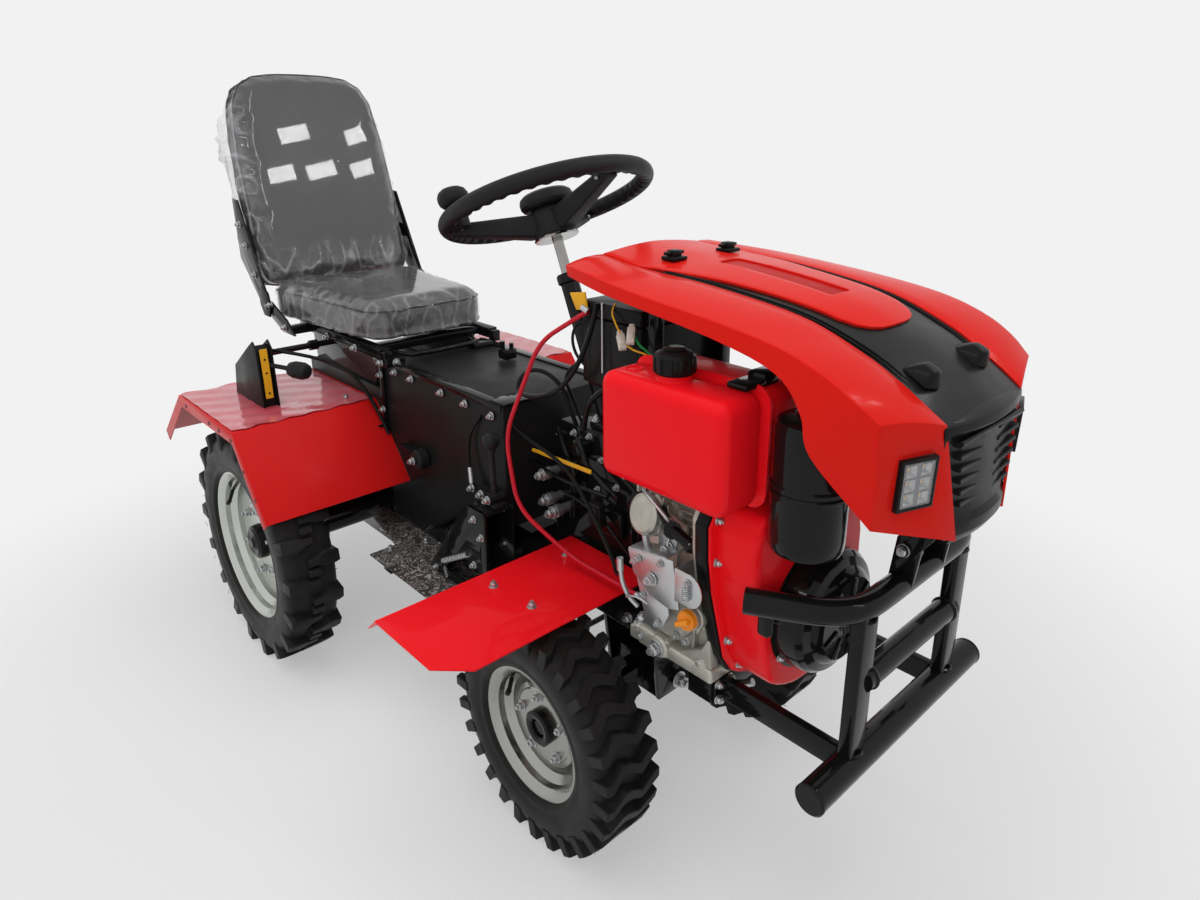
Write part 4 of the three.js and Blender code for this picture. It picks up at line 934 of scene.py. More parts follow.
def fuel_tank():
    near = slab("tank", (TANK_X[0], TANK_Y[0], TANK_Z[0]), (TANK_X[1], TANK_SEAM, TANK_Z[1]))
    soften(near, 19, 6, 30)
    far = slab("tank", (TANK_X[0], TANK_SEAM, TANK_Z[0]), (TANK_X[1], TANK_Y[1], TANK_Z[1]))
    soften(far, 19, 6, 30)
    seam = slab("seam", (TANK_X[0] - 7, TANK_SEAM - 2.2, TANK_Z[0] - 7),
        (TANK_X[1] + 7, TANK_SEAM + 2.2, TANK_Z[1] + 7))
    with editing(seam, "DESELECT"):
        pick(seam, "edges", lambda edge: abs((edge.verts[0].co - edge.verts[1].co).normalized().y) > FACING)
        bpy.ops.mesh.bevel(offset=24 * MM, segments=6, affect="EDGES")
    soften(seam, 1.2, 2)
    x, y = CAP_PLACE
    neck = turned("neck", [(0, -8), (27, -8), (27, -3), (23, 3), (23, 8), (0, 8)], (x, y, TANK_Z[1]), UP, 40, 30)
    dimple = turned("dimple", [(9, -1), (12.5, -1), (13, 1.2), (11, 2), (9, 1.2), (9, -1)],
                    (1022, -212, TANK_Z[1] - 0.5), UP, 24, 30)
    body = join("tank_shells", [near, far, seam, neck, dimple])
    dress(body, RED_PAINT, "fuel_tank")
    skirt = turned("cap", [(0, 8), (25, 8), (26.5, 11), (26.5, 30), (24, 34), (16, 37.5), (0, 38.5)],
                   (x, y, TANK_Z[1]), UP, 40, 30)
    flute = block("flute", (x + 24.5, y - 3.4, TANK_Z[1] + 10), (x + 28.2, y + 3.4, TANK_Z[1] + 31), 1.6, 2)
    flutes = round_about("flutes", flute, (x, y, 0), UP, 12)
    crown = turned("crown", [(0, 37), (14, 37), (15, 39.5), (12, 41), (0, 41)], (x, y, TANK_Z[1]), UP, 32, 30)
    dress(join("tank_cap", [skirt, flutes, crown]), BLACK_MOULD, "fuel_cap")
    straps = []
    for sx in (TANK_X[0] + 45, TANK_X[1] - 112):
        straps.append(block("foot", (sx, TANK_Y[1] - 36, 656), (sx + 28, TANK_Y[1] + 4, TANK_Z[0] + 6), 2, 2))
    straps.append(block("clip", (1158, -190, TANK_Z[1] + 1), (1190, -150, TANK_Z[1] + 9), 3, 2))
    straps.append(block("clip", (1160, -152, TANK_Z[1] - 4), (1188, -120, TANK_Z[1] + 16), 4, 2))
    dress(join("tank_brackets", straps), BLACK_PAINT)
    tap = join("fuel_tap", [turned("tap", [(0, -30), (9, -30), (11, -26), (11, -10), (7, -6), (7, 2), (0, 2)],
        (1012, -142, TANK_Z[0]), UP, 20, 30), rod("spout", (1012, -142, TANK_Z[0] - 20), (1012, -168, TANK_Z[0] - 26),
        4, 12)])
    dress(tap, ZINC_BRIGHT)


def air_filter():
    x, y = 1263, -152
    can = [(0, 665), (38, 665), (44, 668), (46.5, 674), (47, 690), (47, 742), (49.6, 745), (49.6, 748), (48, 750),
           (49.6, 752), (49.6, 757), (47, 760), (47, 826), (44, 834), (36, 838), (22, 838), (20, 842), (0, 842)]
    body = turned("air_filter", can, (x, y, 0), UP, 56, 28)
    neck = turned("neck", [(20, 836)] + [(19 + 4 * (i % 2), 842 + 4 * i) for i in range(6)] + [(20, 866), (0, 866)],
                  (x - 8, y + 34, -6), UP, 32, 60)
    elbow = block("elbow", (1192, -154, 669), (1245, -92, 691), 6, 3)
    dress(join("filter_can", [body, neck, elbow]), BLACK_PAINT, "air_filter", slot="black_plastic")
    nut = join("air_filter_nut", [rod("stud", (x, y, 842), (x, y, 856), 3, 10),
                                  block("wing", (x - 13, y - 2, 846), (x + 13, y + 2, 853), 1.2, 2)])
    dress(nut, ZINC_BRIGHT)


def shroud_outline(grow=0.0):
    """the pressed fan cover seen from the front, as (y, z)"""
    r = 130 + grow
    line = [(-172 - grow, 560), (-180 - grow, 612), (-182 - grow, 660), (-166, 692 + grow), (-60, 704 + grow),
            (30, 700 + grow), (66 + grow, 664), (82 + grow, 590)]
    for degrees in range(8, -132, -8):
        turn = math.radians(degrees)
        line.append((CRANK_Y + r * math.cos(turn), CRANK_Z + r * math.sin(turn)))
    return line + [(-140 - grow, 440), (-156 - grow, 500)]


def fan_shroud():
    cover = plate("fan_cover", shroud_outline(-2), "x", SHROUD_X)
    with editing(cover, "DESELECT"):
        pick(cover, "faces", lambda face: face.normal.x > FACING)
        bpy.ops.mesh.inset(thickness=16 * MM, depth=0)
        bpy.ops.transform.translate(value=(8 * MM, 0, 0))
    soften(cover, 9, 4, 24)
    flange = panel("flange", shroud_outline(9), "x", (SHROUD_X[0] - 1, SHROUD_X[0] + 4), 1.4, 2)
    dress(join("fan_cover", [cover, flange]), RED_PAINT, "fan_shroud")
    places = [((SHROUD_X[0] + 4, y, z), AHEAD) for y, z in
              ((-176, 606), (-176, 668), (-146, 470), (-116, 416), (20, 410), (78, 480), (80, 610))]
    screws("shroud_screws", places, 5.5)


def recoil_starter():
    line = [(0, 50), (14, 52), (22, 58), (60, 58), (66, 54), (72, 46), (84, 42), (90, 34), (92, 20), (92, 2),
            (97, 2), (97, -1), (0, -1)]
    dome = turned("recoil_starter", line, (SHROUD_X[1], CRANK_Y, CRANK_Z), AHEAD, 64, 28)
    vane = block("vane", (SHROUD_X[1] + 42, CRANK_Y + 28, CRANK_Z - 4), (SHROUD_X[1] + 61, CRANK_Y + 60, CRANK_Z + 4),
                 2, 2)
    vanes = round_about("vanes", vane, (0, CRANK_Y, CRANK_Z), AHEAD, 9)
    guide = block("guide", (SHROUD_X[1] + 8, CRANK_Y - 128, CRANK_Z + 34),
        (SHROUD_X[1] + 34, CRANK_Y - 78, CRANK_Z + 60), 5, 3)
    grip = block("grip", (SHROUD_X[1] + 10, CRANK_Y - 146, CRANK_Z + 20),
        (SHROUD_X[1] + 30, CRANK_Y - 130, CRANK_Z + 74), 6, 3)
    dress(join("recoil_cover", [dome, vanes, guide, grip]), BLACK_PAINT, "recoil_starter", slot="black_plastic")
    places = [((SHROUD_X[1] + 3, CRANK_Y + 94 * math.cos(t), CRANK_Z + 94 * math.sin(t)), AHEAD)
              for t in (0.5, 1.6, 2.7, 3.75, 4.8, 5.8)]
    screws("recoil_screws", places, 4.2)


# ---------------------------------------------------------------- front guard
GUARD_X = 1338


def front_guard():
    parts = []
    low, mid, bow = 372, 497, 604
    parts.append(rod("tube", (GUARD_X, -213, low), (GUARD_X, 213, low), 21, 32))
    for side in (-1, 1):
        end = turned("end", [(0, 213), (19, 213), (21.6, 214), (21.6, 217), (19, 219), (0, 219)], (GUARD_X, 0, low),
                     (0, side, 0), 32, 25)
        parts.append(end)
    parts.append(rod("tube", (GUARD_X, -120, mid), (GUARD_X, 120, mid), 17, 28))
    for side in (-1, 1):
        y = beside(side, 107, 145)
        parts.append(block("post", (GUARD_X - 10, y[0], low - 2), (GUARD_X + 10, y[1], bow), 5, 3))
        arm = beside(side, 119, 133)
        parts.append(block("arm", (1121, arm[0], low - 18), (GUARD_X, arm[1], low + 18), 2.5, 2))
        foot = beside(side, 107, 145)
        parts.append(block("foot", (1120.3, foot[0], low - 25), (1127, foot[1], low + 17), 1.5, 1))
        ear = beside(side, 40, 46)
        blank = plate("ear", [(GUARD_X - 17, bow), (GUARD_X + 17, bow), (1362, 668), (1354, 677), (1336, 677),
                              (1328, 668)], "y", ear)
        parts.append(soften(blank, 1.2, 2))
        for z in (low + 20, mid, bow - 14):
            bead = ring("bead", (GUARD_X, side * (107 if z == mid else 126), z), LEFT if z == mid else UP,
                        17 if z == mid else 13, 2.6, 24, 8)
            parts.append(bead)
    line = [(1226, -220), (1262, -200), (1300, -178), (1328, -150), (GUARD_X, -118), (GUARD_X, -60), (GUARD_X, 60),
            (GUARD_X, 118), (1328, 150), (1300, 178), (1262, 200), (1226, 220)]
    parts.append(pipe("bow", [(x, y, bow) for x, y in line], 17, 28, 6))
    dress(join("guard_tubes", parts), BLACK_PAINT, "front_guard")
    places = [((1127.5, side * y, low + dz), AHEAD) for side in (-1, 1) for y in (113, 139) for dz in (-17, 9)]
    screws("guard_screws", places, 5.5)
    pin = [((1345, side * 60, 660), (0, side, 0)) for side in (-1, 1)]
    screws("hinge_nuts", pin, 6.5, "bonnet")


# ---------------------------------------------------------------- seat
BACK_FOOT, BACK_TOP = Vector((-272, 0, 812)), Vector((-397, 0, 1292))
BACK_UP = (BACK_TOP - BACK_FOOT).normalized()
BACK_REAR = Vector((-BACK_UP.z, 0, BACK_UP.x))
# half of each pad's outline: the backrest as (out from the middle, up), the cushion as (out, forward)
BACK_OUTLINE = ((0, -34), (158, -33), (190, -24), (204, 4), (207, 90), (209, 200), (207, 300), (199, 380), (188, 432),
                (166, 472), (128, 496), (64, 506), (0, 508))
CUSHION_OUTLINE = ((0, -272), (176, -271), (196, -260), (200, -238), (189, -120), (174, 20), (164, 96), (152, 144),
                   (122, 170), (60, 177), (0, 178))


def on_back(out, up, rear=0.0):
    return BACK_FOOT + BACK_UP * up + BACK_REAR * rear + Vector((0, out, 0))


def both_halves(half):
    return list(half) + [(-a, b) for a, b in reversed(half[1:-1])]


def pad_block(name, rim, pull):
    """a closed pad blank: the rim's points and the way they are pulled out"""
    blank = shell(name, [at(*p) for p in rim], [tuple(range(len(rim)))])
    return pulled(blank, pull * MM)


PAD_VOXEL, PAD_PRESSURE, PAD_BASE_CAP, PAD_FILL = 6.5, 4.0, 6, 0.7
FILM_WALL = 0.3


def stuffed(pad, cap, base_way):
    """blows the blank up like a stuffed cover; the side that faces base_way is held flatter"""
    fit(pad, "REMESH", mode="VOXEL", voxel_size=PAD_VOXEL * MM)
    fit(pad, "SMOOTH", factor=0.5, iterations=4)
    start = np.array([v.co for v in pad.data.vertices])
    facing = np.array([v.normal.dot(base_way) for v in pad.data.vertices])
    cloth = pad.modifiers.new("Cloth", "CLOTH")
    cloth.settings.use_pressure = True
    cloth.settings.uniform_pressure_force = PAD_PRESSURE
    cloth.settings.effector_weights.gravity = 0
    cloth.settings.quality = 5
    cloth.collision_settings.use_self_collision = False
    for step in range(1, 21):
        bpy.context.scene.frame_set(step)
    seen = pad.evaluated_get(bpy.context.evaluated_depsgraph_get())
    shift = np.array([v.co for v in seen.data.vertices]) - start
    pad.modifiers.remove(cloth)
    bpy.context.scene.frame_set(1)
    far = np.linalg.norm(shift, axis=1)
    limit = np.where(facing > 0.5, PAD_BASE_CAP, cap) * MM
    keep = np.minimum(1, limit / np.maximum(far, 1e-9))
    for vertex, place, step, share in zip(pad.data.vertices, start, shift, keep):
        vertex.co = Vector(place + step * share)
    fit(pad, "SMOOTH", factor=0.5, iterations=5)
    fit(pad, "SUBSURF", levels=1, render_levels=1)
    return smoothed(pad, 70)


def piping(name, pad, rim, body):
    """a sewn cord lying on the pad's surface, nearest to each of the rim's points"""
    tree = BVHTree.FromPolygons([v.co for v in pad.data.vertices], [p.vertices for p in pad.data.polygons])
    line = []
    for point in rim:
        spot, normal, _, _ = tree.find_nearest(at(*point))
        spot = (spot + normal * 0.6 * MM) / MM
        line.append((spot.x - AXLE_X / MM, spot.y, spot.z))
    return dress(pipe(name, line, 2.6, 10, 4, closed=True), PIPING, body=body)


def denser(rim, steps):
    """more points along a closed line"""
    return [a.lerp(b, i / steps) for a, b in zip(rim, rim[1:] + rim[:1]) for i in range(steps)]


def film_over(name, pad, body, slack, kept):
    """clear dust film over a finished pad: slack(point) says from 0 to 1 how loose it is there"""
    film = bpy.data.objects.new(name, pad.data.copy())
    bpy.context.scene.collection.objects.link(film)
    with editing(film, "DESELECT"):
        pick(film, "faces", lambda face: not kept(face.normal))
        bpy.ops.mesh.delete(type="FACE")
    # the cut size is the pad's covered surface, taken before the creases move any point
    crease = film.data.attributes.new("crease", "FLOAT", "POINT")
    normals = [v.normal.copy() for v in film.data.vertices]
    for vertex, normal in zip(film.data.vertices, normals):
        point = vertex.co / MM
        point.x -= AXLE_X / MM
        loose, flare = slack(point)
        fold = 1 - min(1, 4.5 * abs(noise.noise(Vector((point.x, point.y * 1.3, point.z * 0.7)) * 0.024)))
        fine = 1 - min(1, 4.0 * abs(noise.noise(Vector((point.x, point.y, point.z * 0.7)) * 0.055 + Vector((7, 3, 1)))))
        billow = 0.5 + 0.5 * noise.noise(point * 0.018)
        height = 1.6 + loose * (4.0 * fold + 1.8 * fine + 4.5 * billow)
        vertex.co += (normal * height + flare * (0.65 + 0.5 * billow + 0.3 * fold)) * MM
        # the crease value whitens the film: partly its own haze, partly a painted highlight on the folds
        crease.data[vertex.index].value = min(1.0, loose * (0.05 + 0.8 * fold ** 4 + 0.35 * fine ** 4)
                                              + 0.02 * flare.length)
    fit(film, "DECIMATE", ratio=0.5)
    fit(film, "SOLIDIFY", thickness=FILM_WALL * MM, offset=1)
    dress(smoothed(film, 80), FILM, body=body)


def seat():
    rim = [Vector((forward, out, 716)) for out, forward in both_halves(CUSHION_OUTLINE)]
    cushion = stuffed(pad_block("cushion_cover", rim, Vector((0, 0, 70))), 16, Vector((0, 0, -1)))
    low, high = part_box("seat_cushion")
    for vertex in cushion.data.vertices:
        vertex.co.z = min(max(vertex.co.z, low.z + 0.001), high.z + 0.008)
    dress(cushion, VINYL, "seat_cushion")
    rim = denser([Vector((p.x * 1.03, p.y * 1.03, 784)) for p in rim], 4)
    piping("cushion_piping", cushion, rim, "chassis")

    rim = [on_back(out, up, 12) for out, up in both_halves(BACK_OUTLINE)]
    back = stuffed(pad_block("backrest_cover", rim, BACK_REAR * 50), 15, BACK_REAR)
    dress(back, VINYL, "seat_back", body="backrest")
    for rear, name in ((16, "backrest_piping_front"), (58, "backrest_piping_rear")):
        line = [on_back(out * 1.06, up * 1.02 - 4, rear) for out, up in both_halves(BACK_OUTLINE)]
        piping(name, back, denser(line, 4), "backrest")

    def slack_on_back(point):
        offset = point - BACK_FOOT
        up, rear, out = offset.dot(BACK_UP), offset.dot(BACK_REAR), abs(point.y)
        edge = min(1, max(0, (out - 150) / 40))
        foot = min(1, max(0, (75 - up) / 60))
        loose = min(1, max(edge * 0.85, foot * 0.8, 0.16 if rear > 30 else 0.03))
        share = max(0, math.sin(math.pi * min(1, max(0, (up - 150) / 330)))) if point.y < -170 else 0
        return loose, Vector((0, -24, 0)) * share * min(1, max(0, (-point.y - 170) / 24))

    def slack_on_cushion(point):
        edge = max(abs(point.y) / 180, (point.x + 60) / 230, (-point.x - 60) / 190)
        return min(1, 0.10 + 0.55 * max(0, edge - 0.6) / 0.4), Vector((0, 0, 0))

    film_over("backrest_film", back, "backrest", slack_on_back, lambda normal: True)
    film_over("cushion_film", cushion, "chassis", slack_on_cushion, lambda normal: normal.z > -0.4)


# ---------------------------------------------------------------- steering wheel
WHEEL_CENTRE = (583, 0, 1029)
WHEEL_TILT = math.radians(23.5)
COLUMN = Vector((-math.sin(WHEEL_TILT), 0, math.cos(WHEEL_TILT)))
# the way to the front in the steering wheel's plane
WHEEL_AHEAD = Vector((math.cos(WHEEL_TILT), 0, math.sin(WHEEL_TILT)))
COLUMN_TOP, COLUMN_FOOT = -132, -411


def on_column(distance, across=0.0, sideways=0.0):
    """distance up the column, across towards the front in the wheel's plane, sideways to the left"""
    return Vector(WHEEL_CENTRE) + COLUMN * distance + WHEEL_AHEAD * across + Vector((0, sideways, 0))


def steering_wheel():
    rim_radius = 183
    hoop = ring("hoop", WHEEL_CENTRE, COLUMN, rim_radius, 15.5, 264, 20)
    grips = []
    middle = at(*WHEEL_CENTRE)
    for vertex in hoop.data.vertices:
        offset = vertex.co - middle
        up = offset.dot(COLUMN)
        flat = offset - COLUMN * up
        turn = math.atan2(flat.y, flat.dot(WHEEL_AHEAD))
        wave = 0.5 + 0.5 * math.cos(turn * 44)
        outward_push = (flat.length - rim_radius * MM)
        inner = outward_push < 0.004 and up < 0.006
        if inner:
            vertex.co += flat.normalized() * (0.0028 * wave) + COLUMN * (0.0022 * wave)
    smoothed(hoop, 60)
    grips.append(hoop)
    hub = turned("hub", [(0, -62), (38, -62), (40, -58), (39, -44), (36, -16), (32, -10), (0, -10)], WHEEL_CENTRE,
                 COLUMN, 44, 30)
    cap = turned("cap", [(0, -10), (40, -10), (46, -7), (49, -2), (49.5, 6), (47, 13), (41, 17.5), (30, 20), (0, 21)],
                 WHEEL_CENTRE, COLUMN, 48, 25)
    grips += [hub, cap]
    # each spoke is a deep box section, shallower towards the rim
    section = ((-1, 0.86), (-0.86, 1), (0.86, 1), (1, 0.86), (0.94, 0.08), (0.8, 0), (-0.8, 0), (-0.94, 0.08))
    for i in range(3):
        turn = math.radians(120 * i)
        rows = []
        for distance, half, foot, crest in ((26, 21, -58, -16), (44, 20, -57, -17), (90, 16.5, -44, -11),
                                            (140, 14.5, -30, -5), (178, 14, -19, 3)):
            row = []
            for side, level in section:
                rise = foot + (crest - foot) * level
                across = distance * math.cos(turn) - side * half * math.sin(turn)
                sideways = distance * math.sin(turn) + side * half * math.cos(turn)
                row.append(on_column(rise, across, sideways))
            rows.append(row + [row[0]])
        spoke = grid("spoke", rows)
        outward(spoke, 0.05)
        with editing(spoke):
            bpy.ops.mesh.fill_holes(sides=0)
            bpy.ops.mesh.normals_make_consistent(inside=False)
        grips.append(soften(spoke, 1.6, 2, 30))
    wheel = join("wheel_moulding", grips)
    dress(wheel, BLACK_GRIP, "steering_wheel", body="steering_wheel")
    shaft = rod("steering_shaft", on_column(-132), on_column(-50), 9.5, 24)
    nut = rod("shaft_nut", on_column(-64), on_column(-55), 14, 6)
    plate_below = turned("plate", [(11, -66.5), (40, -66.5), (41.5, -64), (40, -62), (11, -62), (11, -66.5)],
                         WHEEL_CENTRE, COLUMN, 40, 30)
    dress(join("steering_shaft", [shaft, nut, plate_below]), CHROME, body="steering_wheel", slot="zinc_steel")
    screws("spoke_screws", [(on_column(-14, 160 * math.cos(t) - side * 15 * math.sin(t),
                                       160 * math.sin(t) + side * 15 * math.cos(t)),
                             Vector((0, side * math.cos(t), 0)) - WHEEL_AHEAD * side * math.sin(t))
                            for t in (0, 2 * math.pi / 3, 4 * math.pi / 3) for side in (-1, 1)], 3.2, "steering_wheel",
           washer=False)
    across, sideways = -52, -156
    base = on_column(0, across, sideways)
    stem = turned("stem", [(0, -16), (17, -16), (17, 6), (10, 9), (8, 14), (8, 26), (0, 26)], base, COLUMN, 24, 30)
    knob = turned("knob", [(0, 19), (11, 19.5), (20, 22), (25.5, 28), (27.5, 35), (27, 42), (23.5, 49), (17, 53.5),
                           (8, 55.7), (0, 56)], base, COLUMN, 32, 40)
    dress(join("spinner_knob", [stem, knob]), BLACK_GRIP, body="steering_wheel")


def refined(node, look, width=1.0, body="chassis"):
    """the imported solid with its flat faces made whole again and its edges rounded"""
    piece = bpy.data.objects.new(f"{node}_made", frame["nodes"][node].data.copy())
    bpy.context.scene.collection.objects.link(piece)
    outward(piece)
    with editing(piece):
        bpy.ops.mesh.dissolve_limited(angle_limit=math.radians(1.0))
    soften(piece, width, 2, 38)
    return dress(piece, look, node, body=body)


def spring(name, start, end, radius, wire, coils):
    a, b = Vector(start), Vector(end)
    along = (b - a).normalized()
    side = along.orthogonal().normalized()
    other = along.cross(side)
    steps = coils * 10
    line = [a]
    for i in range(steps + 1):
        turn = 2 * math.pi * i / 10
        line.append(a.lerp(b, 0.06 + 0.88 * i / steps)
                    + side * (radius * math.cos(turn)) + other * (radius * math.sin(turn)))
    line.append(b)
    return pipe(name, line, wire, 6, 2)


# ---------------------------------------------------------------- engine
def engine():
    x0, x1 = 962, 1131
    parts = [block("sump", (x0, -160, 390), (x1 - 1, 72, 414), 5, 3),
             block("case", (x0 + 8, -138, 404), (x1 - 2, 60, 590), 11, 4),
             block("barrel", (x0 + 22, -120, 585), (x1 - 14, 36, 655), 14, 4),
             block("head", (x0 + 34, -76, 652), (x1 - 20, 54, 700), 6, 3),
             block("rocker", (x0 + 46, -66, 700), (x1 - 32, 44, 752), 16, 4)]
    for i in range(6):
        z = 594 + i * 10
        parts.append(block("fin", (x0 + 16, -127, z), (x1 - 8, 42, z + 3), 1, 1))
    for i in range(4):
        z = 660 + i * 11
        parts.append(block("fin", (x0 + 28, -82, z), (x1 - 14, 58, z + 3), 1, 1))
    lip = plate("lip", shroud_outline(4), "x", (1107, 1119))
    parts.append(soften(lip, 3, 3))
    for x in (1000, 1040, 1082):
        parts.append(panel("rib", [(-150, 416), (-136, 416), (-136, 580), (-142, 560)], "x", (x, x + 5), 1.6, 2))
    parts.append(panel("web", [(1066, 590), (1112, 636), (1118, 560), (1100, 530), (1078, 545)], "y", (-150, -136), 4,
                       3))
    parts.append(panel("pocket", [(1066, 556), (1100, 556), (1104, 500), (1074, 500)], "y", (-156, -136), 4, 3))
    parts.append(turned("cover", [(0, 20), (46, 20), (52, 16), (54, 8), (60, 6), (60, 0), (0, 0)], (1036, -137, 478),
                        RIGHT, 48, 30))
    parts.append(turned("dome", [(0, 44), (26, 44), (31, 41), (31, 30), (34, 28), (34, 20), (31, 18), (31, 8), (39, 5),
                                 (42, 0), (42, -14), (0, -14)], (996, -122, 606), (-0.12, -1, 0.25), 24, 30))
    for i in range(3):
        parts.append(block("dome_rib", (966 + 26 * i, -150, 640 - 2 * i), (970 + 26 * i, -118, 652 - 2 * i), 1.5, 2))
    parts.append(panel("flange", [(1006, 616), (1030, 628), (1066, 616), (1070, 590), (1042, 562), (1018, 574)], "y",
                       (-152, -140), 5, 3))
    parts.append(turned("neck", [(0, 44), (17, 44), (17, 38), (19, 36), (19, 0), (24, -4), (0, -4)], (1106, -139, 502),
                        RIGHT, 32, 30))
    parts.append(block("foot", (984, -164, 391), (1046, -134, 424), 6, 3))
    parts.append(turned("plug_seat", [(0, 8), (15, 8), (18, 4), (18, 0), (0, 0)], (1030, -160, 408), RIGHT, 28, 30))
    parts.append(panel("gusset", [(1064, 414), (1128, 414), (1124, 470), (1108, 440)], "y", (-158, -140), 3, 2))
    for side_y in (-150, 62):
        for x in (980, 1108):
            parts.append(turned("boss", [(0, 8), (11, 8), (13, 5), (13, -2), (0, -2)], (x, side_y, 414), UP, 24, 30))
    parts.append(turned("left_cover", [(0, 16), (48, 16), (56, 10), (58, 0), (0, 0)], (1046, 58, 490), LEFT, 48, 30))
    parts.append(rod("shaft", (890, CRANK_Y, CRANK_Z), (986, CRANK_Y, CRANK_Z), 14, 32))
    parts.append(turned("hub", [(0, 30), (40, 30), (46, 24), (46, 0), (0, 0)], (972, CRANK_Y, CRANK_Z), ASTERN, 40, 30))
    dress(join("engine_casting", parts), CAST, "engine_block")
    pulley = turned("drive_pulley", [(16, 40), (54, 40), (54, 36), (40, 30), (40, 28), (54, 22), (54, 20), (40, 14),
                                     (40, 12), (54, 6), (54, 2), (16, 2), (16, 40)], (940, CRANK_Y, CRANK_Z), ASTERN,
                    48, 30)
    dress(pulley, BLACK_PAINT)
    band = plate("gasket_band", shroud_outline(12), "x", (1119, 1139))
    dress(soften(band, 2, 2), BLACK_MOULD)
    cap = turned("cap", [(0, 12), (13, 12), (15, 9), (15, 0), (0, 0)], (1106, -182, 502), RIGHT, 28, 30)
    tongue = block("tongue", (1093, -203, 498), (1119, -192, 506), 2.5, 3)
    tongue.data.transform(about((1106, -190, 502), LEFT, math.radians(-32)))
    dress(join("oil_filler_cap", [cap, tongue]), ORANGE)
    # governor plates, levers and the pump's pipework
    sheet = [plate("governor", [(989, 569), (1078, 585), (1092, 512), (1072, 505), (1034, 511), (1001, 534)], "y",
                   (-190, -187.5)), plate("flange", [(-189, 0), (-160, 0), (-158, 2.4), (-189, 2.4)], "x", (0, 77))]
    lean = math.atan2(13, 75)
    sheet[1].data.transform(Matrix.Translation(at(989, 0, 568.5)) @ Matrix.Rotation(-lean, 4, "Y")
                            @ Matrix.Translation(-at(0, 0, 0)))
    sheet.append(plate("lower", [(999, 524), (1030, 520), (1062, 506), (1066, 488), (1052, 458), (1036, 448),
                                 (1021, 452)], "y", (-182, -179.5)))
    arc = [(1118 + 24 * math.sin(t), 560 + 26 * math.cos(t)) for t in np.linspace(-0.2, math.pi + 0.2, 12)]
    sheet.append(plate("bracket", [(1094, 586), *arc, (1094, 534)], "y", (-202, -199.6)))
    sheet.append(plate("side", [(-202, 535), (-150, 535), (-150, 585), (-202, 585)], "x", (1092.5, 1095)))
    sheet.append(panel("clamp", [(1004, 622), (1022, 634), (1060, 618), (1056, 588), (1042, 566), (1024, 570)], "y",
                       (-157, -153), 1, 1))
    for piece in sheet:
        soften(piece, 0.8, 2)
    dress(join("governor_plates", sheet), ZINC_BRIGHT)
    parts = [
        pipe("lever", [(974, -190, 530), (976, -192, 518), (981, -190, 500), (990, -186, 482), (1004, -183, 474)], 3.6,
            10),
        rod("tip", (973, -190, 526), (972, -190, 546), 5.2, 16),
        rod("stud", (1012, -168, 560), (1010, -176, 596), 5.5, 16),
        pipe("link", [(988, -192, 488), (1000, -194, 496), (1018, -193, 500), (1030, -190, 494)], 1.8, 8),
        pipe("tie", [(1030, -150, 640), (1040, -152, 600), (1044, -170, 574), (1046, -187, 566)], 1.6, 8),
        pipe("high_pressure", [(1052, -160, 616), (1036, -170, 640), (1006, -166, 652), (978, -150, 646),
            (966, -130, 650), (966, -100, 676), (980, -78, 700)], 3.2, 10),
        rod("drum", (1118, -199, 560), (1118, -186, 560), 9, 20)
    ]
    parts.append(spring("coil", (1118, -206, 572), (1118, -206, 546), 5, 1.1, 7))
    dress(join("governor_levers", parts), ZINC_BRIGHT)
    pump = [
        rod("body", (1034, -150, 606), (1064, -176, 622), 13, 24),
        rod("hose", (1060, -172, 620), (1092, -168, 606), 9, 20),
        ball("end", (1092, -168, 606), 11),
        rod("union", (1040, -156, 610), (1024, -160, 640), 8, 6)
    ]
    dress(join("injection_pump", pump), BLACK_PAINT)
    head_hardware = [((1039, -191, 540), RIGHT), ((1040, -158, 578), RIGHT), ((1086, -158, 604), RIGHT)]
    screws("engine_bolts", head_hardware, 8)
    small = [((1004, -191, 556), RIGHT), ((1012, -191, 562), RIGHT), ((1056, -191, 572), RIGHT),
             ((1014, -183, 500), RIGHT), ((1046, -183, 466), RIGHT), ((1118, -203, 572), RIGHT),
             ((994, -165, 410), RIGHT), ((1128, -150, 640), (-1, 0, 0.2)), ((1080, -158, 440), RIGHT),
             ((1012, -159, 440), RIGHT), ((1060, -159, 440), RIGHT), ((1012, 75, 456), LEFT),
             ((1080, 75, 456), LEFT), ((1046, 75, 530), LEFT)]
    screws("engine_screws", small, 4.6)
    screws("engine_feet_nuts", [((x, y, 422), UP) for x in (980, 1108) for y in (-150, 62)], 8)
    screws("drain_plug", [((1030, -168, 408), RIGHT)], 10)
    screws("rocker_nuts", [((1025, -10, 752), UP), ((1080, -10, 752), UP)], 7)
    strap = pipe("lifting_strap", [(1062, -86, 378), (1088, -92, 352), (1122, -92, 350), (1150, -84, 368)], 6, 16)
    dress(strap, ZINC_BRIGHT)


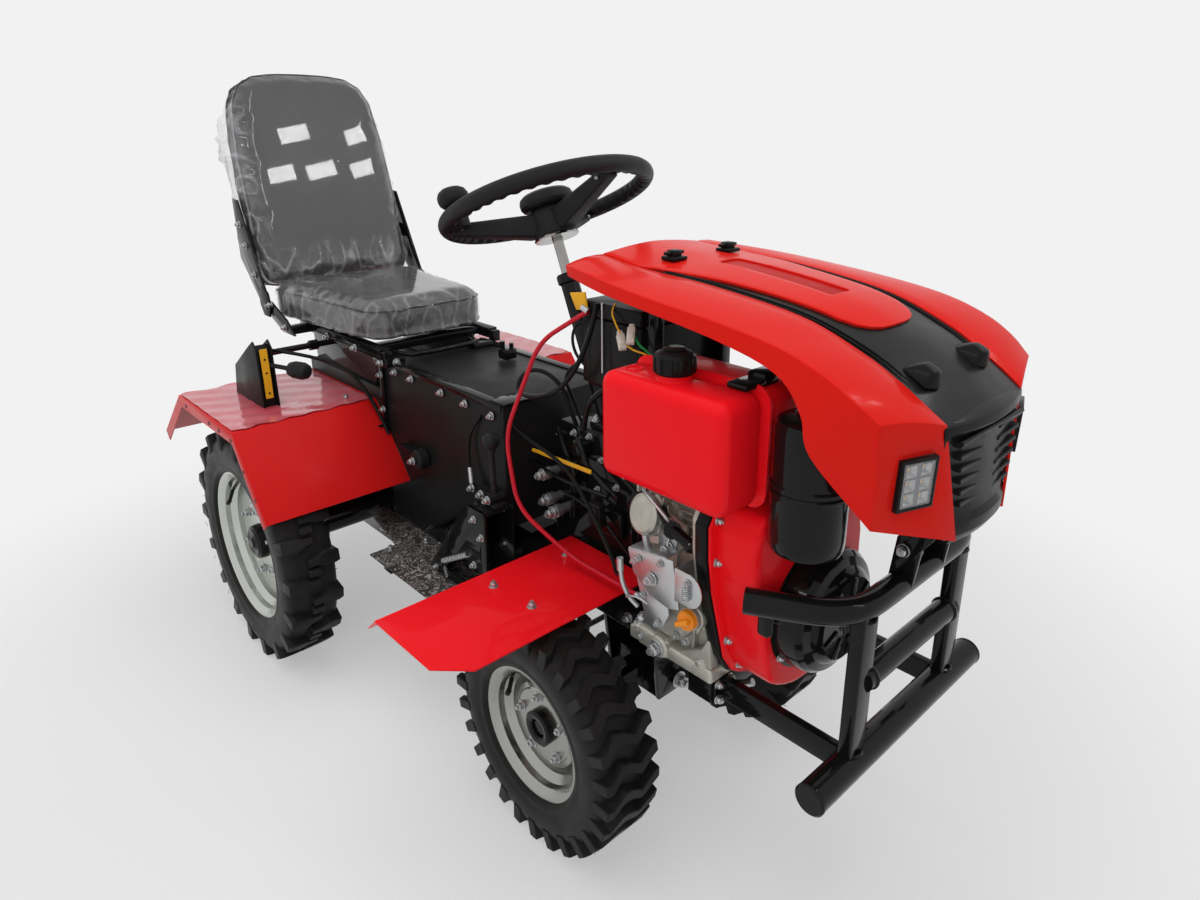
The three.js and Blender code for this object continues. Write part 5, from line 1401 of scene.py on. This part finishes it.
def muffler():
    x0, x1, y, z = 1010, 1180, 150, 700
    line = [(0, 0), (38, 0), (44, 4), (50, 7), (54, 8), (54, 12), (51.5, 14), (51.5, 156), (54, 158), (54, 162),
            (50, 163), (44, 166), (38, 170), (0, 170)]
    can = turned("can", line, (x0, y, z), AHEAD, 56, 30)
    neck = block("neck", (1060, 57, 682), (1108, 122, 714), 8, 4)
    outlet = turned("outlet", [(10, 0), (13, 0), (13, 44), (10, 44), (10, 0)], (1172, y, z + 15), AHEAD, 28, 30)
    dress(join("muffler_can", [can, neck, outlet]), BLACK_SATIN, "muffler")
    rows = []
    for x in np.linspace(x0 + 24, x1 - 24, 10):
        rows.append([(x, y + 60 * math.cos(t), z + 60 * math.sin(t)) for t in np.linspace(-0.9, 1.9, 22)])
    cover = grid("heat_shield", rows)
    outward(cover)
    fit(cover, "SOLIDIFY", thickness=1.2 * MM, offset=0)
    slots = []
    for i in range(4):
        for t in (-0.5, 0.0, 0.5, 1.0, 1.5):
            slot = block("slot", (x0 + 34 + 30 * i, y + 50, z - 4), (x0 + 52 + 30 * i, y + 70, z + 4), 3, 2,
                         smooth=False)
            slot.data.transform(about((0, y, z), AHEAD, t))
            slots.append(slot)
    cutter = join("slots", slots)
    cut(cover, cutter)
    dress(smoothed(outward(cover, 0.005), 40), ZINC)


# ---------------------------------------------------------------- between the tunnel and the engine
def drive_area():
    refined("drive_housing", BLACK_PAINT, 3)
    shafts = []
    for x, z, reach in ((648, 543, 40), (657, 494, 40), (690, 484, 52)):
        shafts.append(turned("stub", [(0, reach), (6, reach), (8, reach - 2), (8, reach - 10), (12, reach - 11),
                                      (12, reach - 22), (9, reach - 23), (9, 0), (0, 0)], (x, -44, z), RIGHT, 20, 30))
    dress(join("shift_stubs", shafts), ZINC_BRIGHT)
    screws("shift_nuts", [((x, -80 if x < 680 else -92, z), RIGHT) for x, z in ((648, 543), (657, 494), (690, 484))], 9)
    screws("housing_screws", [((x, -44, z), RIGHT) for x, z in ((660, 620), (700, 632), (742, 636), (790, 630),
                                                                (836, 590), (858, 540), (868, 470), (860, 420),
                                                                (730, 570), (762, 540), (772, 600), (812, 560))], 5)
    screws("housing_screws_left", [((x, 44, z), LEFT) for x, z in
                                   ((660, 620), (742, 636), (836, 590), (868, 470), (730, 570), (690, 480))], 5)
    arms = [
        panel("arm", [(664, 636), (676, 640), (722, 560), (716, 470), (704, 470), (708, 556)], "y", (-62, -57), 1.4, 2),
        panel("arm", [(728, 640), (744, 640), (764, 596), (840, 560), (838, 548), (754, 584)], "y", (-70, -65), 1.4, 2),
        pipe("link", [(561, -72, 560), (640, -76, 552), (740, -76, 548), (821, -74, 556)], 4, 12),
        pipe("link", [(700, -66, 520), (760, -70, 516), (812, -70, 500), (850, -68, 470), (880, -60, 440)], 3, 10),
        pipe("link", [(742, -58, 652), (752, -62, 690), (770, -60, 722), (800, -40, 748)], 5, 12),
        block("block", (716, -66, 600), (748, -44, 628), 4, 3),
        block("block", (786, -60, 470), (838, -44, 520), 4, 3)
    ]
    dress(join("shift_levers", arms), BLACK_PAINT)
    bar = plate("yellow_bar", [(611, 578), (614, 585), (779, 592), (779, 584)], "y", (-76, -73))
    dress(soften(bar, 0.8, 2), YELLOW)
    relay = join("relay", [block("relay", (786, -90, 498), (816, -74, 540), 3, 3),
                           block("relay", (790, -93, 504), (812, -88, 534), 1.5, 2)])
    dress(relay, BLACK_SATIN, slot="black_plastic")
    cables = [
        pipe("throttle_cable", [(548, -112, 668), (580, -112, 646), (640, -104, 616), (728, -100, 600),
            (800, -116, 572), (868, -134, 530), (920, -152, 498), (950, -176, 500), (972, -188, 516)], 3.4, 10),
        pipe("loop", [(827, -101.5, 898), (826, -110, 860), (800, -122, 790), (760, -126, 745), (708, -124, 720),
            (650, -116, 706), (612, -104, 706), (606, -90, 726), (628, -80, 745), (664, -70, 742), (690, -58, 716),
            (700, -46, 660), (702, -40, 644)], 4.2, 10),
        pipe("loop", [(786, -60, 800), (740, -72, 780), (700, -66, 740), (690, -40, 700), (700, -30, 655),
            (706, -28, 645)], 3.2, 10),
        pipe("loop", [(790, -20, 840), (740, -60, 856), (726, -72, 820), (750, -74, 780), (786, -70, 770)], 2.6, 8),
        pipe("hose", [(742, 30, 640), (760, 60, 700), (800, 80, 740), (850, 96, 756)], 7, 12)
    ]
    dress(join("control_cables", cables), BLACK_MOULD)
    plug = block("plug", (0, -6, -5), (26, 6, 5), 1.4, 2)
    latch = block("latch", (8, -4, 4), (20, 4, 8), 1, 2)
    tab = block("tab", (-6, -4, -3), (2, 4, 3), 1, 2)
    pattern = join("plug", [plug, latch, tab])
    twins = []
    for spot, turn, tip in (((886, -108, 860), -0.5, 0.8), ((915, -112, 876), -0.9, 0.9)):
        place = Matrix.Translation(at(*spot)) @ Matrix.Rotation(turn, 4, "Z") @ Matrix.Rotation(tip, 4, "Y")
        twins.append(copied(pattern, place @ Matrix.Translation(-at(0, 0, 0))))
    bpy.data.objects.remove(pattern)
    dress(join("wire_plugs", twins), CREAM)
    dress(pipe("orange_wire", [(857, -90, 900), (862, -104, 892), (874, -108, 878), (886, -108, 862), (908, -112, 842),
                               (940, -96, 836), (962, -80, 800), (980, -60, 760), (1000, -50, 752)], 1.6, 8), YELLOW,
          slot="black_plastic")
    dress(pipe("green_wire", [(915, -112, 876), (928, -116, 856), (946, -104, 842), (966, -84, 804), (984, -62, 764),
                              (1010, -44, 752)], 2, 8), GREEN)


def dash():
    parts = [block("case", (786.5, -97.5, 762.6), (921, 97.5, 872), 3, 3),
             block("lid", (786, -98, 873.4), (921.4, 98, 898), 3, 3),
             block("rib", (800, -98.3, 776), (806, -96, 866), 1, 1),
             block("rib", (852, -98.3, 776), (914, -96.5, 866), 1.4, 2),
             block("handle", (800, -24, 897), (908, 24, 906), 3, 3)]
    dress(join("battery_case", parts), BLACK_MOULD, "battery_box")
    strip = block("hold_down", (835, -101, 786), (838.5, -97, 900), 0.8, 2)
    dress(strip, ZINC_BRIGHT)
    refined("dash_frame", BLACK_PAINT, 1.2)
    tag = plate("cable_clamp", [(764, 906), (800, 912), (806, 886), (780, 880)], "y", (-104, -100))
    dress(soften(tag, 1, 2), YELLOW)
    jacket = rod("jacket", on_column(COLUMN_TOP), on_column(COLUMN_FOOT), 17, 40)
    collar = turned("collar", [(10.5, 0), (19, 0), (21, -3), (21, -16), (17, -19), (10.5, -19), (10.5, 0)],
                    on_column(COLUMN_TOP), COLUMN, 40, 30)
    foot = block("foot", (730, -34, 648.6), (800, 34, 659.6), 2, 2)
    smoothed(jacket, 40)
    dress(join("column_jacket", [jacket, collar, foot]), BLACK_PAINT, "steering_column")
    screws("column_bolts", [((x, y, 659.6), UP) for x in (738, 792) for y in (-25, 25)], 6)


CABLE_ROUTE = ((806, -102.3, 882), (712, -128, 820), (660, -168, 650), (690, -170, 520), (790, -130, 446),
               (969.4, -130, 446))


def red_cable():
    corners = [Vector(p) for p in CABLE_ROUTE]
    line = [corners[0]]
    for a, b, c in zip(corners, corners[1:], corners[2:]):
        start = b + (a - b).normalized() * 40
        end = b + (c - b).normalized() * 40
        line += [start.lerp(b, t).lerp(b.lerp(end, t), t) for t in (0, 0.25, 0.5, 0.75, 1)]
    line.append(corners[-1])
    sleeve = pipe("clutch_cable", line, 4, 12, 5)
    dress(sleeve, CABLE_RED, "red_cable")
    ends = [rod("ferrule", CABLE_ROUTE[-1], (948, -130, 446), 5.5, 16),
        rod("ferrule", CABLE_ROUTE[0], (796, -106, 888), 5.5, 16)]
    dress(join("cable_ferrules", ends), ZINC_BRIGHT)


# ---------------------------------------------------------------- tunnel, floor, pedals and levers
def tunnel():
    refined("tunnel_body", BLACK_SATIN, 2.0)
    trim = []
    for side in (-1, 1):
        y = beside(side, 112, 133)
        trim.append(block("cover_edge", (165, y[0], 675), (598, y[1], 678), 1, 2))
        y = beside(side, 130, 133)
        trim.append(block("cover_edge", (165, y[0], 666), (598, y[1], 678), 1, 2))
        y = beside(side, 130, 137)
        trim.append(block("post", (148, y[0], 470), (162, y[1], 676), 1.2, 2))
        trim.append(block("step", (88, side * 140 - 12, 520), (158, side * 140 + 12, 524), 1.2, 2))
        trim.append(block("gusset", (250, side * 145 - 14, 505), (300, side * 145 + 14, 509), 1.2, 2))
    trim.append(block("lip", (560, -129, 677), (606, -60, 681), 1.5, 2))
    dress(join("tunnel_trim", trim), BLACK_PAINT)
    places = []
    for side in (-1, 1):
        places += [((x, side * 133.2, z), (0, side, 0)) for x, z in
                   ((214, 658), (282, 658), (398, 656), (483, 654), (570, 652))]
        places += [((155, side * 137, z), (0, side, 0)) for z in (500, 560, 640)]
    screws("tunnel_bolts", places, 6)
    low = [((x, side * 130.2, z), (0, side, 0)) for side in (-1, 1) for x, z in ((596, 470), (596, 400), (590, 330))]
    screws("tunnel_small_bolts", low, 4.5)
    fittings = [block("lock", (334, 52, 678), (362, 82, 700), 2, 2), rod("pin", (340, 60, 700), (340, 60, 716), 6, 16),
                rod("pin", (354, 74, 700), (354, 74, 712), 5, 16)]
    dress(join("top_catch", fittings), BLACK_PAINT)
    roller = turned("roller", [(0, 30), (9, 30), (9, 26), (20, 25), (22, 22), (22, 4), (19, 1), (0, 1)],
                    (312, -131, 490), RIGHT, 36, 30)
    far = copied(roller, MIRROR)
    dress(join("side_rollers", [roller, far]), RUBBER)
    screws("roller_bolts", [((312, side * 161, 490), (0, side, 0)) for side in (-1, 1)], 7)


def floor_mats():
    for word, _ in SIDES:
        refined(f"{word}_floor_plate", MAT_TOP, 0.8)
    edges = []
    for side in (-1, 1):
        y = beside(side, 133, 262)
        edges.append(block("edge", (597, y[0], 291), (600, y[1], 300), 0.8, 1))
    dress(join("floor_edges", edges), BLACK_PAINT)
    screws("floor_screws", [((x, side * y, 300), UP) for side in (-1, 1) for x,
                            y in ((300, 224), (580, 250), (320, 150))], 6)


def pedals():
    for word, side in SIDES:
        outline = [(413, 300.4), (622, 300.4), (624, 484), (618, 490), (566, 490), (556, 484)]
        box = plate("box", outline, "y", beside(side, 191, 197))
        back = plate("back", outline, "y", beside(side, 131.5, 134))
        top = plate("top", [(418, 304), (560, 486), (566, 490), (618, 490), (624, 484), (618, 486), (566, 486),
                            (422, 302)], "y", beside(side, 133, 196))
        window = panel("window", [(470, 318), (600, 318), (600, 372), (520, 372)], "y", beside(side, 189, 199), 6, 3,
                       smooth=False)
        cut(box, window)
        outward(box, 0.01)
        shellwork = join(f"{word}_pedal_bracket", [soften(p, 1.4, 2) for p in (box, back, top)])
        dress(shellwork, BLACK_PAINT, f"{word}_pedal_box")
        arm = pipe("arm", [(570, side * 165, 330), (500, side * 165, 350), (452, side * 165, 372),
                           (424, side * 165, 380)], 7, 14)
        pad = block("pad", (398, side * 165 - 32, 378), (440, side * 165 + 32, 386), 3, 3)
        ribs = [block("rib", (402 + 7 * i, side * 165 - 29, 385), (405 + 7 * i, side * 165 + 29, 388), 0.8, 1)
                for i in range(5)]
        pivot = rod("pivot", (570, side * 134, 330), (570, side * 200, 330), 8, 20)
        lean = about((418, side * 165, 380), LEFT, math.radians(-38))
        for piece in (pad, *ribs):
            piece.data.transform(lean)
        dress(join(f"{word}_pedal", [arm, pad, pivot, *ribs]), BLACK_MOULD)
        coil = spring(f"{word}_pedal_spring", (466, side * 199, 332), (572, side * 199, 392), 5, 1.2, 16)
        small = spring(f"{word}_pedal_spring", (476, side * 199, 324), (484, side * 199, 304), 3.4, 1, 6)
        dress(join(f"{word}_pedal_springs", [coil, small]), ZINC_BRIGHT)
        screws(f"{word}_pedal_bolts", [((x, side * 197, z), (0, side, 0)) for x, z in
                                       ((440, 308), (582, 372), (606, 318), (612, 440), (590, 470))], 5.5)


def levers():
    x, y = 604, -157
    parts = [block("foot", (x - 18, y - 14, 490.6), (x + 18, y + 14, 498), 2, 2),
             rod("stick", (x - 2, y, 496), (x - 4, y - 1, 606), 5.4, 20),
             rod("collar", (x - 3.6, y - 1, 596), (x - 4, y - 1, 606), 8, 20),
             ball("knob", (x - 4, y - 1, 618), 17, (1, 1, 0.94), 16),
             rod("clevis", (x, y - 17, 506), (x, y + 17, 506), 9, 20)]
    dress(join("gear_stick", parts), BLACK_GRIP, "gear_lever")
    screws("gear_stick_bolts", [((x, y - 17, 506), RIGHT), ((575, -168, 506), RIGHT), ((520, -152, 496), RIGHT)], 6.5)
    link = [pipe("link", [(534, -133, 642), (512, -138, 616), (500, -141, 584), (499, -143, 556), (506, -146, 528)], 3,
                 10), block("tongue", (512, -150, 488), (600, -144, 502), 2, 2)]
    dress(join("brake_link", link), BLACK_MOULD)
    dress(rod("brake_link_end", (505, -145, 532), (516, -150, 504), 4.6, 16), ZINC_BRIGHT)


def quadrant():
    profile = [(-150, 572.4), (15, 572.4), (10, 706), (-6, 721.5), (-40, 702), (-132, 645)]
    left = panel("cheek", profile, "y", (-345, -341), 1.4, 2)
    right = panel("cheek", profile, "y", (-313, -309), 1.4, 2)
    inner = panel("core", [(-144, 574), (8, 574), (4, 700), (-8, 712), (-126, 642)], "y", (-341, -313), 2, 2)
    dress(join("quadrant_box", [left, right, inner]), BLACK_SATIN, "throttle_quadrant")
    scale = plate("quadrant_scale", [(15.6, 640), (15.6, 596), (17, 596), (13.4, 706), (12, 706)], "y", (-338, -322))
    dress(soften(scale, 0.5, 1), YELLOW, slot="black_plastic")
    marks = [panel("mark", [(17.6 - i * 0.55, 606 + 15 * i), (18.6 - i * 0.55, 606 + 15 * i),
                            (18.4 - i * 0.55, 610 + 15 * i), (17.4 - i * 0.55, 610 + 15 * i)], "y", (-332, -328), 0.2,
                   1) for i in (0, 3, 5)]
    dress(join("quadrant_marks", marks), BLACK_MOULD)
    bow = [rod("stalk", (2, -322, 668), (60, -292, 664), 5, 16),
        turned("grip", [(0, 0), (10, 0), (15, 4), (18.5, 15), (19, 36), (15, 47), (8, 51), (0, 52)], (54, -295, 664.5),
        (66, 34, -4.5), 24, 40)]
    dress(join("quadrant_handle", bow), BLACK_GRIP)
    cross = join("cross_shaft", [rod("shaft", (-60, -309, 676), (-60, -124, 676), 7, 20),
                                 rod("nut", (-60, -200, 676), (-60, -180, 676), 12, 6)])
    dress(cross, BLACK_PAINT)
    rod_low = pipe("hand_brake_rod", [(-30, -300, 690), (60, -200, 672), (120, -150, 600), (170, -138, 505)], 4, 12)
    dress(rod_low, BLACK_PAINT)


# ---------------------------------------------------------------- mudguards
def fenders():
    for word, side in SIDES:
        refined(f"rear_{word}_fender", RED_SHEET, 1.1)
        # same paint as the rear mudguards, painted lighter here against the bonnet's shade
        refined(f"front_{word}_fender", RED_PAINT, 1.1)
        rows = []
        dice = random.Random(word)
        for y in np.linspace(142, 444, 26):
            rows.append([(x, side * y, 573.2 + 1.4 * math.sin(x * 0.05 + y * 0.03) ** 2 + dice.uniform(0, 1.1))
                         for x in np.linspace(-219 + 6 * math.sin(y * 0.07), 106 + 5 * math.sin(y * 0.11), 26)])
        film = skin_over(f"rear_{word}_fender_film", rows, 0.5, offset=1)
        dress(smoothed(film, 50), BLUSH_FILM)
    places = [((x, side * y, 428), UP) for side in (-1, 1) for x, y in ((748, 110), (746, 266), (838, 257))]
    places += [((67, side * 182, 572.5), UP) for side in (-1, 1)]
    screws("fender_bolts", places, 6)
    # the fender's side holes are thin dark discs, not openings: painted shade for the dark seen through them
    holes = [turned("hole", [(0, 0.5), (4.4, 0.5), (4.4, -0.6), (0, -0.6)], (x, side * 448.2, z), (0, side, 0), 20, 30)
             for side in (-1, 1) for x, z in ((31, 556), (-29, 556), (-180, 556), (98, 552), (150, 500), (196, 452))]
    dress(join("fender_holes", holes), BLACK_SATIN)


# ---------------------------------------------------------------- seat metalwork
def seat_metal():
    refined("seat_frame", BLACK_PAINT, 1.2)
    refined("backrest_frame", BLACK_PAINT, 1.2, body="backrest")
    covers = []
    for side in (-1, 1):
        y = beside(side, 211.6, 217)
        covers.append(panel("cover", [(-268, 716), (-236, 716), (-222, 742), (-232, 776), (-262, 792), (-284, 780),
                                      (-286, 742)], "y", y, 2.4, 3))
    dress(join("recliner_covers", covers), BLACK_MOULD, body="backrest")
    spots = [(-158, 703), (-229, 748)]
    screws("recliner_bolts", [((x, side * 211.5, z), (0, side, 0)) for side in (-1, 1) for x, z in spots], 6.5)
    screws("backrest_bolts", [((x, side * 216.6, z), (0, side, 0)) for side in (-1, 1) for x, z in
                              ((-296, 812), (-330, 880), (-352, 930))], 6.5, "backrest")
    parts = []
    for side in (-1, 1):
        y = beside(side, 126, 154)
        parts.append(block("runner", (-214, y[0], 684), (196, y[1], 692), 1.5, 2))
        parts.append(block("stop", (186, side * 140 - 10, 676), (206, side * 140 + 10, 702), 2, 2))
    handle = pipe("handle", [(60, -118, 694), (150, -110, 690), (214, -96, 688), (226, -60, 690), (226, 40, 690),
                             (214, 84, 688), (150, 96, 690)], 5, 12)
    latch = block("latch", (150, -150, 668), (212, -104, 688), 3, 2)
    latch2 = block("latch", (196, 60, 664), (232, 112, 688), 3, 2)
    dress(join("seat_runners", [*parts, handle, latch, latch2]), BLACK_PAINT)
    screws("seat_runner_bolts", [((190, -150.5, 678), RIGHT), ((212, -127, 678), AHEAD), ((-60, -154, 690), RIGHT),
                                 ((80, -154, 690), RIGHT)], 6.5)


# ---------------------------------------------------------------- running gear
def running_gear():
    refined("chassis_frame", BLACK_PAINT, 1.6)
    refined("rear_axle_case", BLACK_PAINT, 3)
    refined("front_axle_beam", BLACK_PAINT, 1.4)
    refined("tie_rod", ZINC_BRIGHT, 0.8, body="tie_rod")
    refined("bonnet_hinge", BLACK_PAINT, 0.8, body="bonnet")
    for word, side in SIDES:
        refined(f"{word}_knuckle", BLACK_PAINT, 1.2, body=f"{word}_knuckle")
        screws(f"{word}_kingpin_nut", [((853, side * 145, 249), UP)], 8, f"{word}_knuckle")
        screws(f"{word}_tie_pin_nut", [((743, side * 145, 262), UP)], 6, f"{word}_knuckle")
    screws("axle_pin_nuts", [((853 + 75, 0, 205), AHEAD), ((853 - 75, 0, 205), ASTERN)], 12)
    bolts = [((x, side * 100, 367), (0, side, 0)) for side in (-1, 1) for x in (190, 300, 420, 540, 660, 780, 900, 1000,
        1090)]
    screws("rail_bolts", bolts, 7)
    gear = [((x, side * 95, z), (0, side, 0)) for side in (-1, 1) for x, z in
            ((-95, 200), (-95, 340), (-95, 490), (20, 490), (110, 490), (110, 200), (20, 200))]
    screws("gearbox_bolts", gear, 7)
    flanges = []
    for side in (-1, 1):
        flanges.append(turned("flange", [(34, 0), (62, 0), (64, 2), (64, 12), (60, 14), (38, 18), (34, 18), (34, 0)],
                              (0, side * 94, 265), (0, side, 0), 48, 30))
        flanges.append(turned("drum", [(30, 0), (58, 0), (60, 2), (60, 28), (56, 31), (34, 34), (30, 34), (30, 0)],
                              (0, side * 252, 265), (0, side, 0), 48, 30))
    dress(join("axle_flanges", flanges), BLACK_PAINT)
    hitch = join("hitch_pin", [rod("pin", (-160, 0, 280), (-160, 0, 352), 8, 20),
                               ring("ring", (-160, 0, 360), LEFT, 11, 2.4, 28, 8)])
    dress(hitch, ZINC_BRIGHT)


# ---------------------------------------------------------------- stage
def looked_at(nodes, links):
    """1 where the eye, a mirror or a glass looks at the backdrop, 0 where it only lights the object"""
    path = nodes.new("ShaderNodeLightPath")
    value = path.outputs["Is Camera Ray"]
    for other in ("Is Glossy Ray", "Is Transmission Ray"):
        either = node_of(nodes, "Math", operation="MAXIMUM")
        links.new(value, either.inputs[0])
        links.new(path.outputs[other], either.inputs[1])
        value = either.outputs["Value"]
    return value


def stage():
    calm()
    bpy.ops.mesh.primitive_plane_add(size=24, location=(0, 0, 0))
    floor = named("floor")
    paper = bpy.data.materials.new("paper_floor")
    paper.use_nodes = True
    nodes, links = paper.node_tree.nodes, paper.node_tree.links
    nodes["Principled BSDF"].inputs["Base Color"].default_value = (0.80, 0.80, 0.80, 1)
    nodes["Principled BSDF"].inputs["Roughness"].default_value = 0.75
    glow = nodes.new("ShaderNodeEmission")
    glow.inputs["Color"].default_value = (0.888, 0.888, 0.888, 1)
    place = nodes.new("ShaderNodeTexCoord")
    distance = nodes.new("ShaderNodeVectorMath")
    distance.operation = "LENGTH"
    links.new(place.outputs["Object"], distance.inputs[0])
    fade = nodes.new("ShaderNodeMapRange")
    fade.interpolation_type = "SMOOTHSTEP"
    fade.inputs["From Min"].default_value = 0.9
    fade.inputs["From Max"].default_value = 1.9
    fade.inputs["To Min"].default_value = 0.42
    links.new(distance.outputs["Value"], fade.inputs["Value"])
    seen = nodes.new("ShaderNodeMath")
    seen.operation = "MULTIPLY"
    links.new(fade.outputs["Result"], seen.inputs[0])
    links.new(looked_at(nodes, links), seen.inputs[1])
    mix = nodes.new("ShaderNodeMixShader")
    links.new(seen.outputs["Value"], mix.inputs["Fac"])
    links.new(nodes["Principled BSDF"].outputs["BSDF"], mix.inputs[1])
    links.new(glow.outputs["Emission"], mix.inputs[2])
    links.new(mix.outputs["Shader"], nodes["Material Output"].inputs["Surface"])
    floor.data.materials.append(paper)
    bpy.context.scene.view_settings.view_transform = "Standard"
    world = bpy.data.worlds.new("studio")
    bpy.context.scene.world = world
    world.use_nodes = True
    nodes, links = world.node_tree.nodes, world.node_tree.links
    back = nodes["Background"]
    back.inputs["Color"].default_value = (0.90, 0.92, 0.95, 1)
    back.inputs["Strength"].default_value = 0.34
    wall = nodes.new("ShaderNodeBackground")
    wall.inputs["Color"].default_value = (0.888, 0.888, 0.888, 1)
    blend = nodes.new("ShaderNodeMixShader")
    links.new(looked_at(nodes, links), blend.inputs["Fac"])
    links.new(back.outputs["Background"], blend.inputs[1])
    links.new(wall.outputs["Background"], blend.inputs[2])
    links.new(blend.outputs["Shader"], nodes["World Output"].inputs["Surface"])


def softbox(name, place, aim, width, height, power, mirrored=True):
    """a flat lamp that lights the object and may show in its gloss, but not to the eye"""
    data = bpy.data.lights.new(name, "AREA")
    data.shape = "RECTANGLE"
    data.size, data.size_y = width, height
    data.energy = power
    light = bpy.data.objects.new(name, data)
    light.location = place
    light.rotation_euler = (Vector(aim) - Vector(place)).to_track_quat("-Z", "Y").to_euler()
    light.visible_camera = False
    light.visible_glossy = mirrored
    bpy.context.scene.collection.objects.link(light)


# hall lamps in front, seen again in the seat's gloss; places in metres
HALL_LAMPS = ((1.28, 0.95, 2.29), (1.22, 1.29, 2.25), (1.38, 0.85, 2.11), (1.33, 1.06, 2.10), (1.28, 1.29, 2.08))


def lights():
    softbox("ceiling", (0.2, -0.3, 3.4), (0, 0, 0.5), 3.2, 3.2, 56, mirrored=False)
    softbox("window", (2.6, -2.8, 2.2), (0, 0, 0.5), 1.8, 1.4, 36, mirrored=False)
    softbox("fill", (-2.6, -2.2, 1.6), (0, 0, 0.5), 1.6, 1.4, 16, mirrored=False)
    for i, place in enumerate(HALL_LAMPS):
        softbox(f"hall_lamp_{i}", place, (-0.82, 0, 1.1), 0.15, 0.08, 0.7)
    softbox("strip_front", (2.2, 0.6, 2.9), (0.4, 0, 0.7), 0.10, 1.6, 6)
    softbox("strip_side", (0.6, -2.4, 2.6), (0.4, 0, 0.7), 1.6, 0.10, 6)


camera()
stage()
lights()
wheels()
bonnet()
engine()
muffler()
fuel_tank()
air_filter()
fan_shroud()
recoil_starter()
front_guard()
seat()
seat_metal()
steering_wheel()
dash()
drive_area()
red_cable()
tunnel()
floor_mats()
pedals()
levers()
quadrant()
fenders()
running_gear()
